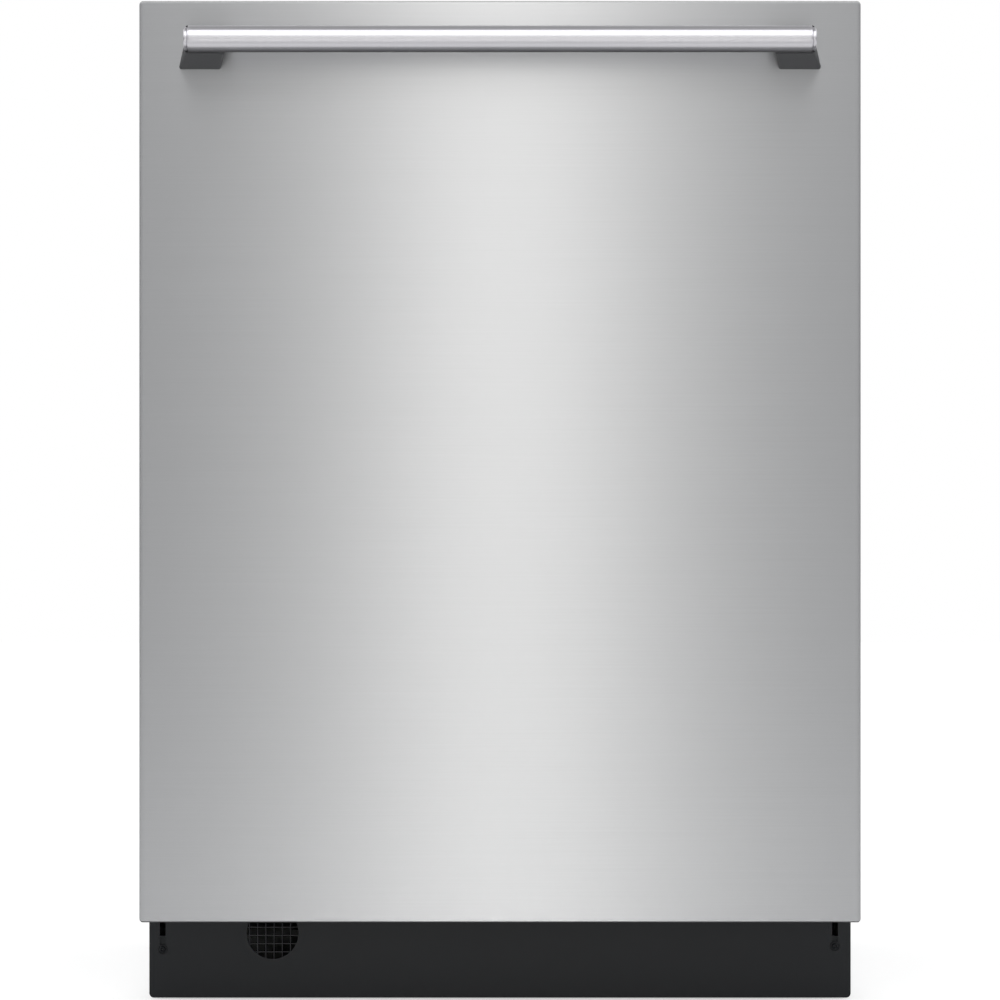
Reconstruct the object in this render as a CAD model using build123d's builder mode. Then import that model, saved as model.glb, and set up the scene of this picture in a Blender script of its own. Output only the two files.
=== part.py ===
from build123d import *

import os
from math import cos, pi, radians, sin

# A built-in dishwasher for a 24 inch cut-out, as its separate pieces.
# X runs to the right, Y towards the back and Z up, in millimetres. The origin lies on the floor,
# midway between the front of the handle and the back of the rear connections.

# ---------------------------------------------------------------- driving dimensions
DEPTH = 670.0            # front of the handle bar to the end of the rear connections
DOOR_W = 606.0
DOOR_H = 774.0
DOOR_BOTTOM = 74.0       # height of the door's lower edge above the floor
HANDLE_REACH = 58.0      # how far the handle stands out from the door's face
SHEET = 1.2              # steel sheet of the door's face and the tub
LINER_SHEET = 1.0
DOOR_T = 55.0            # door's face to the inner liner's surface
TOE_SETBACK = 85.0       # door's face to the kick plate
CHASSIS_W = 592.0        # over the two side rails
TUB_W = 544.0            # inside width of the tub
TUB_TOP = 812.0          # inside height of the ceiling
TRACK_Z = 129.0          # level that the lower rack's wheels roll on
FLOOR_Z = 107.2          # lowest flat of the tub's floor
WIRE_R = 2.0             # coated rack wire
TOUCH = 0.05             # gap between wires that are welded together
PLAY = 0.3               # clearance between pieces that slide past each other
PIN_R = 4.0              # hinge pin
PIN_PLAY = 0.06          # radial running clearance on a pin

DOOR_TOP = DOOR_BOTTOM + DOOR_H
BAR_FRONT_Y = -DEPTH / 2
FACE_Y = BAR_FRONT_Y + HANDLE_REACH
LINER_Y = FACE_Y + DOOR_T
KICK_Y = FACE_Y + TOE_SETBACK
BACK_Y = DEPTH / 2
FLANGE_Y = LINER_Y + 5.0         # front of the tub's flange
TUB_BACK_Y = 305.0
HINGE_Y = FACE_Y + 43.0
HINGE_Z = 112.0
RAIL_X = CHASSIS_W / 2           # outer face of a side rail
TUB_X = TUB_W / 2
TUB_MID_Y = 44.0                 # centre of the spray arms and the sump
PAN_Z = 24.0                     # top of the base pan

os.makedirs("parts", exist_ok=True)


def write(made, name):
    """Labels a finished piece and writes its STEP file."""
    made.part.label = name
    export_step(made.part, f"parts/{name}.step")


def pair(make_side, name):
    """Writes the left and the right copy of a piece as one node."""
    with BuildPart() as made:
        for side in (-1, 1):
            add(make_side(side).part)
    write(made, name)


def block(x, y, z, mode=Mode.ADD):
    """Adds or cuts a box that spans (low, high) along each axis."""
    with Locations((sum(x) / 2, sum(y) / 2, sum(z) / 2)):
        Box(x[1] - x[0], y[1] - y[0], z[1] - z[0], mode=mode)


def rods_x(points, length, radius=WIRE_R, mode=Mode.ADD):
    """Round rods along X, each centred on its point."""
    with Locations(*points):
        Cylinder(radius, length, rotation=(0, 90, 0), mode=mode)


def rods_y(points, length, radius=WIRE_R, mode=Mode.ADD):
    """Round rods along Y, each centred on its point."""
    with Locations(*points):
        Cylinder(radius, length, rotation=(90, 0, 0), mode=mode)


def rods_z(points, height, radius=WIRE_R, mode=Mode.ADD):
    """Round rods along Z, each standing on its point."""
    with Locations(*points):
        Cylinder(radius, height, align=(Align.CENTER, Align.CENTER, Align.MIN), mode=mode)


def spread(first, last, count):
    """Evenly spaced values from first to last."""
    return [first + (last - first) * i / (count - 1) for i in range(count)]


# ---------------------------------------------------------------- door: outer skin and inner liner
SKIN_DEPTH = 22.0
SKIN_TOP_DEPTH = 7.0
BOLT_X = 252.6
BOLT_Z = (802.0, 818.0)
BOLT_R = 3.0

with BuildPart() as door_outer_panel:
    block((-DOOR_W / 2, DOOR_W / 2), (FACE_Y, FACE_Y + SKIN_DEPTH), (DOOR_BOTTOM, DOOR_TOP))
    fillet(door_outer_panel.edges().filter_by(Axis.Y), 3.0)
    fillet(door_outer_panel.faces().sort_by(Axis.Y)[0].edges(), 1.8)
    offset(amount=-SHEET, openings=door_outer_panel.faces().sort_by(Axis.Y)[-1])
    # the return along the top is shallow and leaves room for the control panel
    block(
        (-DOOR_W / 2, DOOR_W / 2),
        (FACE_Y + SKIN_TOP_DEPTH, FACE_Y + SKIN_DEPTH + 1),
        (DOOR_TOP - 3, DOOR_TOP + 1),
        Mode.SUBTRACT,
    )
    bolt_points = [(s * BOLT_X, FACE_Y, z) for s in (-1, 1) for z in BOLT_Z]
    rods_y(bolt_points, 6, BOLT_R + 0.3, Mode.SUBTRACT)
write(door_outer_panel, "door_outer_panel")

LINER_X = 296.0
LINER_TOP = 838.0
LINER_STEP_Z = 128.0     # below this the liner is narrower and clears the hinges
LINER_STEP_X = 270.0
LINER_BOTTOM = 86.0
LINER_FRONT_Y = LINER_Y - 28.0
RIDGE_X = (244.0, 260.0)
RIDGE_Z = (140.0, 640.0)
RIDGE_H = 4.5
ARM_X = (288.0, 290.5)   # hinge arm, a plate inside the door
DISPENSER_X = 96.0
DISPENSER_Z = (330.0, 545.0)
STRIKER_Z = (827.0, 831.0)

with BuildPart() as door_liner:
    block((-LINER_X, LINER_X), (LINER_FRONT_Y, LINER_Y), (LINER_STEP_Z, LINER_TOP))
    block((-LINER_STEP_X, LINER_STEP_X), (LINER_FRONT_Y, LINER_Y), (LINER_BOTTOM, LINER_STEP_Z))
    fillet(door_liner.edges().filter_by(Axis.Y), 4.0)
    offset(amount=-LINER_SHEET, openings=door_liner.faces().sort_by(Axis.Y)[0])
    for side in (-1, 1):
        # raised tracks that carry the lower rack's wheels when the door lies open
        inner, outer = sorted((side * RIDGE_X[0], side * RIDGE_X[1]))
        block((inner, outer), (LINER_Y - 0.5, LINER_Y + RIDGE_H), RIDGE_Z)
        arm = sorted((side * (ARM_X[0] - 6.2), side * (ARM_X[1] + 2.5)))
        block(arm, (LINER_FRONT_Y - 1, LINER_Y - LINER_SHEET), (120, 131), Mode.SUBTRACT)
    block(
        (-DISPENSER_X - PLAY, DISPENSER_X + PLAY),
        (LINER_Y - 3, LINER_Y + 1),
        (DISPENSER_Z[0] - PLAY, DISPENSER_Z[1] + PLAY),
        Mode.SUBTRACT,
    )
    block((-14, 14), (LINER_Y - 3, LINER_Y + 1), (STRIKER_Z[0] - 3, STRIKER_Z[1] + 4), Mode.SUBTRACT)
write(door_liner, "door_liner")

with BuildPart() as door_insulation:
    block((-284, 284), (FACE_Y + 2.5, FACE_Y + 15), (96, 790))
    fillet(door_insulation.edges().filter_by(Axis.Y), 12)
write(door_insulation, "door_insulation")

# ---------------------------------------------------------------- door: handle
BAR_R = 11.1
BAR_WALL = 2.0
BAR_HALF = 258.7
BAR_Y = BAR_FRONT_Y + BAR_R
BAR_Z = 811.1
CAP_R = BAR_R - 1.5
CAP_LENGTH = 3.4
# a bracket's outline where it meets the door and where it cradles the bar: (x, z) of its
# inner and outer lower corners, then of its outer and inner upper corners
FOOT = [(234.6, 790.6), (270.0, 790.6), (262.6, 823.0), (227.6, 823.0)]
GRIP = [(228.0, 798.9), (261.0, 798.9), (261.0, 822.6), (228.0, 822.6)]

with BuildPart() as handle_bar:
    rods_x([(0, BAR_Y, BAR_Z)], 2 * BAR_HALF, BAR_R)
    rods_x([(0, BAR_Y, BAR_Z)], 2 * BAR_HALF, BAR_R - BAR_WALL, Mode.SUBTRACT)
write(handle_bar, "handle_bar")

with BuildPart() as handle_end_caps:
    for side in (-1, 1):
        rods_x([(side * (BAR_HALF + CAP_LENGTH / 2), BAR_Y, BAR_Z)], CAP_LENGTH, CAP_R)
        rods_x([(side * (BAR_HALF - 4), BAR_Y, BAR_Z)], 8, BAR_R - BAR_WALL - TOUCH)
    ends = handle_end_caps.faces().sort_by(Axis.X)
    chamfer(ends[0].edges() + ends[-1].edges(), 0.8)
write(handle_end_caps, "handle_end_caps")


def handle_bracket(side):
    """A cast arm that leans outwards and drops from the bar to its foot on the door, side -1 or 1."""
    grip_x = side * (GRIP[0][0] + GRIP[1][0]) / 2
    with BuildPart() as made:
        for corners, y in ((FOOT, FACE_Y), (GRIP, BAR_Y + 2)):
            with BuildSketch(Plane.XZ.offset(-y)) as outline:
                Polygon(*[(side * x, z) for x, z in corners], align=None)
                fillet(outline.vertices(), 2.2)
        loft(ruled=True)
        rods_x([(grip_x, BAR_Y, BAR_Z)], 60, BAR_R + TOUCH, Mode.SUBTRACT)
        block((grip_x - 40, grip_x + 40), (BAR_Y - 20, BAR_Y - 0.5), (780, 840), Mode.SUBTRACT)
        lips = made.faces().sort_by(Axis.Y)[:2].edges().filter_by(Axis.X)
        chamfer(lips.sort_by(Axis.Z)[0], 0.35)
        holes = [(side * BOLT_X, FACE_Y - 8, z) for z in BOLT_Z]
        rods_y(holes, 18, BOLT_R + TOUCH, Mode.SUBTRACT)
    return made


pair(handle_bracket, "handle_brackets")

with BuildPart() as handle_bolts:
    rods_y([(x, FACE_Y + SHEET - 9, z) for x, _, z in bolt_points], 18, BOLT_R)
    rods_y([(x, FACE_Y + SHEET + 2, z) for x, _, z in bolt_points], 4, 5.5)
write(handle_bolts, "handle_bolts")

# ---------------------------------------------------------------- door: controls along the top edge
CONSOLE_TOP = 846.4
CONSOLE_PLATE = 7.4
BUTTON_XS = (-190.0, -130.0, 130.0, 190.0)
BUTTON_NAMES = ("power_button", "cycle_button", "options_button", "start_button")
BUTTON_W = 26.0
BUTTON_D = 12.0
BUTTON_Y = LINER_Y - 24.0
WELL_Z = 840.5

with BuildPart() as control_panel:
    block((-290, 290), (FACE_Y + 7, LINER_FRONT_Y - 1.5), (800, 839.5))
    block((-288, 288), (FACE_Y + 9, LINER_FRONT_Y - 3.5), (799, 837.5), Mode.SUBTRACT)
    block((-300, 300), (FACE_Y + SHEET + 0.2, LINER_Y), (CONSOLE_TOP - CONSOLE_PLATE, CONSOLE_TOP))
    fillet(control_panel.edges().filter_by(Axis.Z).group_by(Axis.Y)[-1], 3.0)
    with BuildSketch(Plane.XY.offset(CONSOLE_TOP)):
        with Locations(*[(x, BUTTON_Y) for x in BUTTON_XS]):
            RectangleRounded(BUTTON_W + 2 * PLAY, BUTTON_D + 2 * PLAY, 3.0)
    extrude(amount=-(CONSOLE_TOP - WELL_Z), mode=Mode.SUBTRACT)
    block((-48, 48), (BUTTON_Y - 9, BUTTON_Y + 9), (CONSOLE_TOP - 1.4, CONSOLE_TOP + 1), Mode.SUBTRACT)
    block((-47.8, 47.8), (BUTTON_Y - 8.8, BUTTON_Y + 8.8), (CONSOLE_TOP - 1.3, CONSOLE_TOP))
write(control_panel, "control_panel")

for button_x, button_name in zip(BUTTON_XS, BUTTON_NAMES):
    with BuildPart() as button:
        with BuildSketch(Plane.XY.offset(WELL_Z + 2)):
            with Locations((button_x, BUTTON_Y)):
                RectangleRounded(BUTTON_W, BUTTON_D, 2.8)
        extrude(amount=CONSOLE_TOP + 1.2 - WELL_Z - 2)
        fillet(button.faces().sort_by(Axis.Z)[-1].edges(), 0.6)
    write(button, button_name)

with BuildPart() as control_board:
    block((-125, 125), (FACE_Y + 15, FACE_Y + 16.6), (806, 837))
    block((-40, 10), (FACE_Y + 16.6, FACE_Y + 20), (812, 828))
    block((40, 62), (FACE_Y + 16.6, FACE_Y + 21), (810, 832))
    block((-100, -80), (FACE_Y + 16.6, FACE_Y + 21.5), (810, 824))
write(control_board, "control_board")

# ---------------------------------------------------------------- door: latch and its striker
with BuildPart() as door_latch:
    block((-38, 38), (LINER_FRONT_Y + 1, LINER_Y - LINER_SHEET), (810, 836))
    fillet(door_latch.edges().filter_by(Axis.Y), 3)
    latch_z = (STRIKER_Z[0] - 2.5, STRIKER_Z[1] + 3)
    block((-13, 13), (LINER_Y - 22.5, LINER_Y), latch_z, Mode.SUBTRACT)
write(door_latch, "door_latch")

with BuildPart() as latch_striker:
    block((-24, 24), (FLANGE_Y - 1.5, FLANGE_Y), (826.2, 837.5))
    block((-9, 9), (FLANGE_Y - 22, FLANGE_Y - 1.5), STRIKER_Z)
    block((-5, 5), (FLANGE_Y - 18, FLANGE_Y - 1.5), (820, 840), Mode.SUBTRACT)
write(latch_striker, "latch_striker")

# ---------------------------------------------------------------- door: detergent and rinse aid dispenser
CUP_X = (-80.0, -6.0)
CUP_Z = (420.0, 500.0)
DISH_Y = LINER_Y + 3.0   # face that the sliding lid lies on
LID_T = 4.0
RINSE_X, RINSE_Z = 48.0, 462.0

with BuildPart() as dispenser_body:
    block((-DISPENSER_X, DISPENSER_X), (LINER_Y - 24, LINER_Y), DISPENSER_Z)
    block((-102, 102), (LINER_Y, DISH_Y), (DISPENSER_Z[0] - 6, DISPENSER_Z[1] + 6))
    fillet(dispenser_body.edges().filter_by(Axis.Y), 4)
    block(CUP_X, (LINER_Y - 21, DISH_Y + 1), CUP_Z, Mode.SUBTRACT)
    rods_y([(RINSE_X, DISH_Y - 4, RINSE_Z)], 14, 17.0, Mode.SUBTRACT)
    for inner, outer in ((-88.0, -84.0), (-2.0, 2.0)):
        block((inner, outer), (DISH_Y, DISH_Y + LID_T + 2), (DISPENSER_Z[0] + 6, 506))
write(dispenser_body, "dispenser_body")

with BuildPart() as detergent_lid:
    block((-83.6, -2.4), (DISH_Y + PLAY, DISH_Y + PLAY + LID_T), (CUP_Z[0] - 4, CUP_Z[1] + 4))
    fillet(detergent_lid.edges().filter_by(Axis.Y), 2)
    for ridge_z in (430, 436, 442):
        block((-60, -26), (DISH_Y + 4, DISH_Y + 5.6), (ridge_z, ridge_z + 2.4))
write(detergent_lid, "detergent_lid")

with BuildPart() as rinse_aid_cap:
    rods_y([(RINSE_X, DISH_Y - 3, RINSE_Z)], 8, 17.0 - PLAY)
    rods_y([(RINSE_X, DISH_Y + 0.5 + 3, RINSE_Z)], 6, 21.0)
    rods_y([(RINSE_X, DISH_Y + 0.75, RINSE_Z)], 1.5, 17.0 - PLAY)
    block((RINSE_X - 16, RINSE_X + 16), (DISH_Y + 6, DISH_Y + 10), (RINSE_Z - 2.5, RINSE_Z + 2.5))
write(rinse_aid_cap, "rinse_aid_cap")

# ---------------------------------------------------------------- door hinges, their links and springs
EYE_R = 11.0
DRUM_R = 10.0            # the link is drawn forward by this radius times the door's angle
SPRING_R = 7.0
SPRING_Y = (-146.0, -6.0)
LINK_X = (283.0, 287.0)
BRACKET_X = (291.5, 294.0)


def mirrored(side, span):
    """A (low, high) span along X, on the right for side 1 and mirrored for side -1."""
    return tuple(sorted((side * span[0], side * span[1])))


def hinge_arm(side):
    """Door hinge arm: a plate with an eye on the pivot, a drum beside it and a fixing flange."""
    web = mirrored(side, ARM_X)
    with BuildPart() as made:
        block(web, (HINGE_Y - 9, LINER_Y - LINER_SHEET), (HINGE_Z + 24, 330))
        block(web, (HINGE_Y - 9, HINGE_Y + 9), (HINGE_Z, HINGE_Z + 24))
        block(
            mirrored(side, (272, ARM_X[1])),
            (LINER_Y - LINER_SHEET - 2.5, LINER_Y - LINER_SHEET),
            (HINGE_Z + 34, 330),
        )
        rods_x([(sum(web) / 2, HINGE_Y, HINGE_Z)], ARM_X[1] - ARM_X[0], EYE_R)
        rods_x([(side * (ARM_X[0] - 2.75), HINGE_Y, HINGE_Z)], 5.5, DRUM_R)
        rods_x([(side * 286, HINGE_Y, HINGE_Z)], 40, PIN_R + PIN_PLAY, Mode.SUBTRACT)
    return made


def hinge_bracket(side):
    """Fixed bracket on the side rail, with the pivot pin."""
    with BuildPart() as made:
        block(mirrored(side, BRACKET_X), (HINGE_Y, KICK_Y + 40), (HINGE_Z - 12, HINGE_Z + 12))
        rods_x([(side * sum(BRACKET_X) / 2, HINGE_Y, HINGE_Z)], 2.5, EYE_R + 1)
        rods_x([(side * 288.25, HINGE_Y, HINGE_Z)], 11.5, PIN_R)
    return made


def spring_link(side):
    """Flat strap that lies on the drum and hooks the spring."""
    x = mirrored(side, LINK_X)
    with BuildPart() as made:
        block(x, (HINGE_Y + 3, SPRING_Y[0] - 5), (HINGE_Z + DRUM_R + PLAY, HINGE_Z + DRUM_R + 1.8))
        block(x, (SPRING_Y[0] - 8, SPRING_Y[0] - 5), (HINGE_Z - 5, HINGE_Z + DRUM_R + 1.8))
        rods_y([(side * 285, SPRING_Y[0] - 2.5, HINGE_Z)], 5, 1.5)
    return made


def spring_anchor(side):
    """Lug on the side rail that holds the spring's rear end."""
    with BuildPart() as made:
        block(mirrored(side, (278, RAIL_X - 2)), (SPRING_Y[1] + 5, SPRING_Y[1] + 8), (100, 124))
        rods_y([(side * 285, SPRING_Y[1] + 2.5, HINGE_Z)], 5, 1.5)
    return made


def balance_spring(side):
    """Tension spring as a hollow cylinder of its outer size."""
    middle = (side * 285, sum(SPRING_Y) / 2, HINGE_Z)
    with BuildPart() as made:
        rods_y([middle], SPRING_Y[1] - SPRING_Y[0], SPRING_R)
        rods_y([middle], SPRING_Y[1] - SPRING_Y[0], SPRING_R - 2, Mode.SUBTRACT)
    return made


pair(hinge_arm, "hinge_arms")
pair(spring_link, "spring_links")
pair(balance_spring, "balance_springs")

# ---------------------------------------------------------------- tub, in three welded pieces, and its seals
TUB_CORNER = 30.0
FLANGE_X = 294.0
SUMP_HOLE_R = 78.0
HEATER_LEG_X = 18.0
HEATER_BACK_Y = 200.0
FLOAT_X, FLOAT_Y = -192.0, -150.0

with BuildPart() as tub_wrap:
    with BuildSketch(Plane.XZ.offset(-FLANGE_Y - SHEET)):
        with Locations((0, (TRACK_Z + TUB_TOP) / 2 - 50)):
            RectangleRounded(TUB_W + 2 * SHEET, TUB_TOP - TRACK_Z + 2 * SHEET + 100, TUB_CORNER + SHEET)
        with Locations((0, (TRACK_Z + TUB_TOP) / 2 - 50)):
            RectangleRounded(TUB_W, TUB_TOP - TRACK_Z + 100, TUB_CORNER, mode=Mode.SUBTRACT)
    extrude(amount=-(TUB_BACK_Y - FLANGE_Y - SHEET))
    with BuildSketch(Plane.XZ.offset(-FLANGE_Y - SHEET)):
        with Locations((0, (TRACK_Z + LINER_TOP) / 2)):
            Rectangle(2 * FLANGE_X, LINER_TOP - TRACK_Z)
        with Locations((0, (TRACK_Z + TUB_TOP) / 2 - 50)):
            RectangleRounded(TUB_W, TUB_TOP - TRACK_Z + 100, TUB_CORNER, mode=Mode.SUBTRACT)
    extrude(amount=SHEET)
    block((-400, 400), (-400, 400), (0, TRACK_Z), Mode.SUBTRACT)
write(tub_wrap, "tub_wrap")

with BuildPart() as tub_back:
    with BuildSketch(Plane.XZ.offset(-TUB_BACK_Y)):
        with Locations((0, (TRACK_Z + TUB_TOP) / 2 - 50)):
            RectangleRounded(TUB_W + 2 * SHEET, TUB_TOP - TRACK_Z + 2 * SHEET + 100, TUB_CORNER + SHEET)
    extrude(amount=-SHEET)
    block((-400, 400), (-400, 400), (0, TRACK_Z), Mode.SUBTRACT)
write(tub_back, "tub_back")

BASIN_TOP_Z = TRACK_Z - SHEET
BASIN_DEPTH = TRACK_Z - FLOOR_Z
BASIN_SLOPE = 45.0
BASIN_X = 238.0
BASIN_Y = (FLANGE_Y + 12, 292.0)
basin_mid_y = sum(BASIN_Y) / 2
basin_length = BASIN_Y[1] - BASIN_Y[0]

with BuildPart() as tub_floor:
    block((-TUB_X - SHEET, TUB_X + SHEET), (FLANGE_Y, TUB_BACK_Y + SHEET), (BASIN_TOP_Z, TRACK_Z))
    with BuildSketch(Plane.XY.offset(TRACK_Z)):
        with Locations((0, basin_mid_y)):
            Rectangle(2 * BASIN_X + 2 * SHEET, basin_length + 2 * SHEET)
    extrude(amount=-BASIN_DEPTH - SHEET, taper=BASIN_SLOPE)
    with BuildSketch(Plane.XY.offset(TRACK_Z)):
        with Locations((0, basin_mid_y)):
            Rectangle(2 * BASIN_X, basin_length)
    extrude(amount=-BASIN_DEPTH, taper=BASIN_SLOPE, mode=Mode.SUBTRACT)
    rods_z([(0, TUB_MID_Y, 90)], 30, SUMP_HOLE_R, Mode.SUBTRACT)
    rods_z([(s * HEATER_LEG_X, HEATER_BACK_Y, 90) for s in (-1, 1)], 30, 4.6, Mode.SUBTRACT)
    rods_z([(FLOAT_X, FLOAT_Y, 90)], 30, 6.0, Mode.SUBTRACT)
write(tub_floor, "tub_floor")

SEAL_X = (275.0, 287.0)
SEAL_TOP = 825.5
with BuildPart() as door_gasket:
    with BuildSketch(Plane.XZ.offset(-FLANGE_Y)):
        with Locations((0, SEAL_TOP - 400)):
            RectangleRounded(2 * SEAL_X[1], 800, 38)
            RectangleRounded(2 * SEAL_X[0], 800 - 2 * (SEAL_X[1] - SEAL_X[0]), 32, mode=Mode.SUBTRACT)
    extrude(amount=5 - PLAY)
    block((-400, 400), (-400, 400), (0, 137), Mode.SUBTRACT)
    fillet(door_gasket.faces().sort_by(Axis.Y)[0].edges().filter_by(Axis.Z), 1.8)
    # the sill seal is a separate strip between the gasket's two ends
    block((-TUB_X, TUB_X), (FLANGE_Y - 5 + PLAY, FLANGE_Y), (TRACK_Z - 1, 136))
write(door_gasket, "door_gasket")

BLANKET_X = 288.5
BLANKET_TOP = 829.0
BLANKET_R = TUB_CORNER + 14      # its two upper corners
CHANNEL = 132.0                  # between sewn lines
VALLEY = 4.5                     # depth of a sewn line
VALLEY_HALF = 8.0
# the upright lines run on from those across the top, round the corners
FIRST_LINE_Z = BLANKET_TOP + BLANKET_X - BLANKET_R * (2 - pi / 2) - 3 * CHANNEL
LINE_ZS = [FIRST_LINE_Z - CHANNEL * i for i in range(5)]


def valley(start, along, outward, length):
    """A V-shaped bar to cut away, from a start point on the surface along a direction."""
    with BuildPart() as made:
        with BuildSketch(Plane(origin=start, x_dir=outward, z_dir=along)):
            Polygon((0.5, -VALLEY_HALF - 0.9), (-VALLEY, 0), (0.5, VALLEY_HALF + 0.9), align=None)
        extrude(amount=length)
    return made.part


with BuildPart() as insulation_blanket:
    blanket_y = (FLANGE_Y + 10, TUB_BACK_Y + 16)
    block((-BLANKET_X, BLANKET_X), blanket_y, (TRACK_Z + 2, BLANKET_TOP))
    fillet(insulation_blanket.edges().filter_by(Axis.Y).group_by(Axis.Z)[-1], BLANKET_R)
    fillet(insulation_blanket.faces().sort_by(Axis.Y)[-1].edges().filter_by(Axis.Z), 8)
    with BuildSketch(Plane.XZ.offset(-blanket_y[0])):
        with Locations((0, (TRACK_Z + TUB_TOP) / 2 - 50)):
            RectangleRounded(TUB_W + 4.4, TUB_TOP - TRACK_Z + 4.4 + 100, TUB_CORNER + 2.2)
    extrude(amount=-(TUB_BACK_Y + 2.2 - blanket_y[0]), mode=Mode.SUBTRACT)
    blanket_length = blanket_y[1] - blanket_y[0]
    upright = BLANKET_TOP - TRACK_Z - BLANKET_R
    across = 2 * (BLANKET_X - BLANKET_R)
    valleys = [valley((-BLANKET_X, blanket_y[1], z), (1, 0, 0), (0, 1, 0), 2 * BLANKET_X) for z in LINE_ZS]
    for x in (-1.5 * CHANNEL, -CHANNEL / 2, CHANNEL / 2, 1.5 * CHANNEL):
        valleys.append(valley((x, blanket_y[1], TRACK_Z), (0, 0, 1), (0, 1, 0), BLANKET_TOP - TRACK_Z))
    for x in (-CHANNEL, 0, CHANNEL):
        valleys.append(valley((x, blanket_y[0], BLANKET_TOP), (0, 1, 0), (0, 0, 1), blanket_length))
    for line_y in (sum(blanket_y) / 2 + i * CHANNEL for i in (-1, 0, 1)):
        start = (-BLANKET_X + BLANKET_R, line_y, BLANKET_TOP)
        valleys.append(valley(start, (1, 0, 0), (0, 0, 1), across))
        for side in (-1, 1):
            valleys.append(valley((side * BLANKET_X, line_y, TRACK_Z), (0, 0, 1), (side, 0, 0), upright))
    for side in (-1, 1):
        for z in LINE_ZS:
            start = (side * BLANKET_X, blanket_y[0], z)
            valleys.append(valley(start, (0, 1, 0), (side, 0, 0), blanket_length))
    add(valleys, mode=Mode.SUBTRACT)
write(insulation_blanket, "insulation_blanket")

# ---------------------------------------------------------------- chassis
RAIL_T = 2.0
RAIL_FRONT_Y = KICK_Y + 1.5
FEET = [(s * 250.0, y) for y in (-164.0, 296.0) for s in (-1, 1)]
FOOT_NAMES = ("front_left_foot", "front_right_foot", "rear_left_foot", "rear_right_foot")
STUD_R = 5.0
KICK_SCREWS = [(-290.0, 42.6), (288.0, 45.4)]
TAB_HIGH_Z = 54.0        # top of the tab that a kick plate screw goes into
PORT_LENGTH = 15.0
PORT_NECK = 3.0                      # length of a port's narrower neck, which passes through the panel
PANEL_Y = BACK_Y - PORT_LENGTH - PORT_NECK   # outer face of the rear panel is 2 mm behind this
PORT_Z = 72.0
DRAIN_X, DRAIN_R = 210.0, 9.5        # 3/4 inch drain spigot
INLET_X, INLET_R = -215.0, 13.2      # 3/4 inch hose thread
POWER_X, KNOCKOUT_R = 60.0, 11.1     # 7/8 inch electrical knockout


def side_rail(side):
    """Folded steel rail: a web, a shelf under the tub's edge, a foot flange and a front tab."""
    web = mirrored(side, (RAIL_X - RAIL_T, RAIL_X))
    with BuildPart() as made:
        block(web, (RAIL_FRONT_Y, 325), (PAN_Z, BASIN_TOP_Z))
        shelf = mirrored(side, (262, RAIL_X))
        block(shelf, (RAIL_FRONT_Y + 4, TUB_BACK_Y + SHEET), (BASIN_TOP_Z - SHEET, BASIN_TOP_Z))
        block(mirrored(side, (272, RAIL_X)), (RAIL_FRONT_Y + 4, PANEL_Y), (PAN_Z, PAN_Z + RAIL_T))
        block(mirrored(side, (277, RAIL_X)), (RAIL_FRONT_Y, RAIL_FRONT_Y + RAIL_T), (PAN_Z + 4, TAB_HIGH_Z))
        for x, z in KICK_SCREWS:
            rods_y([(x, RAIL_FRONT_Y, z)], 10, 2.3, Mode.SUBTRACT)
    return made


with BuildPart() as chassis_frame:
    for side in (-1, 1):
        add(side_rail(side).part)
        add(hinge_bracket(side).part)
        add(spring_anchor(side).part)
    # crossmember below the front of the basin
    block((-295, 295), (RAIL_FRONT_Y + 2.2, RAIL_FRONT_Y + 4), (84, 105))
    block((-268, 268), (RAIL_FRONT_Y + 2.2, RAIL_FRONT_Y + 16), (84, 85.8))
write(chassis_frame, "chassis_frame")

with BuildPart() as base_pan:
    block((-RAIL_X + 2, RAIL_X - 2), (KICK_Y + 6, 325), (PAN_Z - 4, PAN_Z))
    block((-268, 268), (KICK_Y + 6, KICK_Y + 8), (PAN_Z, PAN_Z + 8))
    rods_z([(x, y, PAN_Z) for x, y in FEET], 22, 11)
    rods_z([(x, y, PAN_Z - 10) for x, y in FEET], 60, STUD_R + PIN_PLAY, Mode.SUBTRACT)
    # upright rear panel with the passages for the connections
    block((-RAIL_X + 2, RAIL_X - 2), (PANEL_Y, PANEL_Y + 2), (PAN_Z, BASIN_TOP_Z - 4))
    for port_x, port_r in ((DRAIN_X, DRAIN_R), (INLET_X, INLET_R), (POWER_X, KNOCKOUT_R + 4)):
        rods_y([(port_x, PANEL_Y + 1, PORT_Z)], 6, port_r + 0.5, Mode.SUBTRACT)
write(base_pan, "base_pan")

for (foot_x, foot_y), foot_name in zip(FEET, FOOT_NAMES):
    with BuildPart() as foot:
        rods_z([(foot_x, foot_y, 0)], 6, 17)
        chamfer(foot.faces().sort_by(Axis.Z)[-1].edges(), 2)
        with BuildSketch(Plane.XY.offset(6)):
            with Locations((foot_x, foot_y)):
                RegularPolygon(11, 6)
        extrude(amount=7)
        rods_z([(foot_x, foot_y, 13)], 60, STUD_R)
    write(foot, foot_name)

# ---------------------------------------------------------------- kick plate with its air grille
KICK_X = 301.5
KICK_TOP = 96.0
KICK_BOTTOM = 1.0
GRILLE_X, GRILLE_Z, GRILLE_R = -195.5, 56.5, 22.3
GRILLE_PITCH = 7.05
GRILLE_WIRE = 0.35                   # half the width of a bar of the mesh
GRILLE_SHIFT = (1.2, -2.1)           # the mesh isn't centred on the opening

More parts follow.
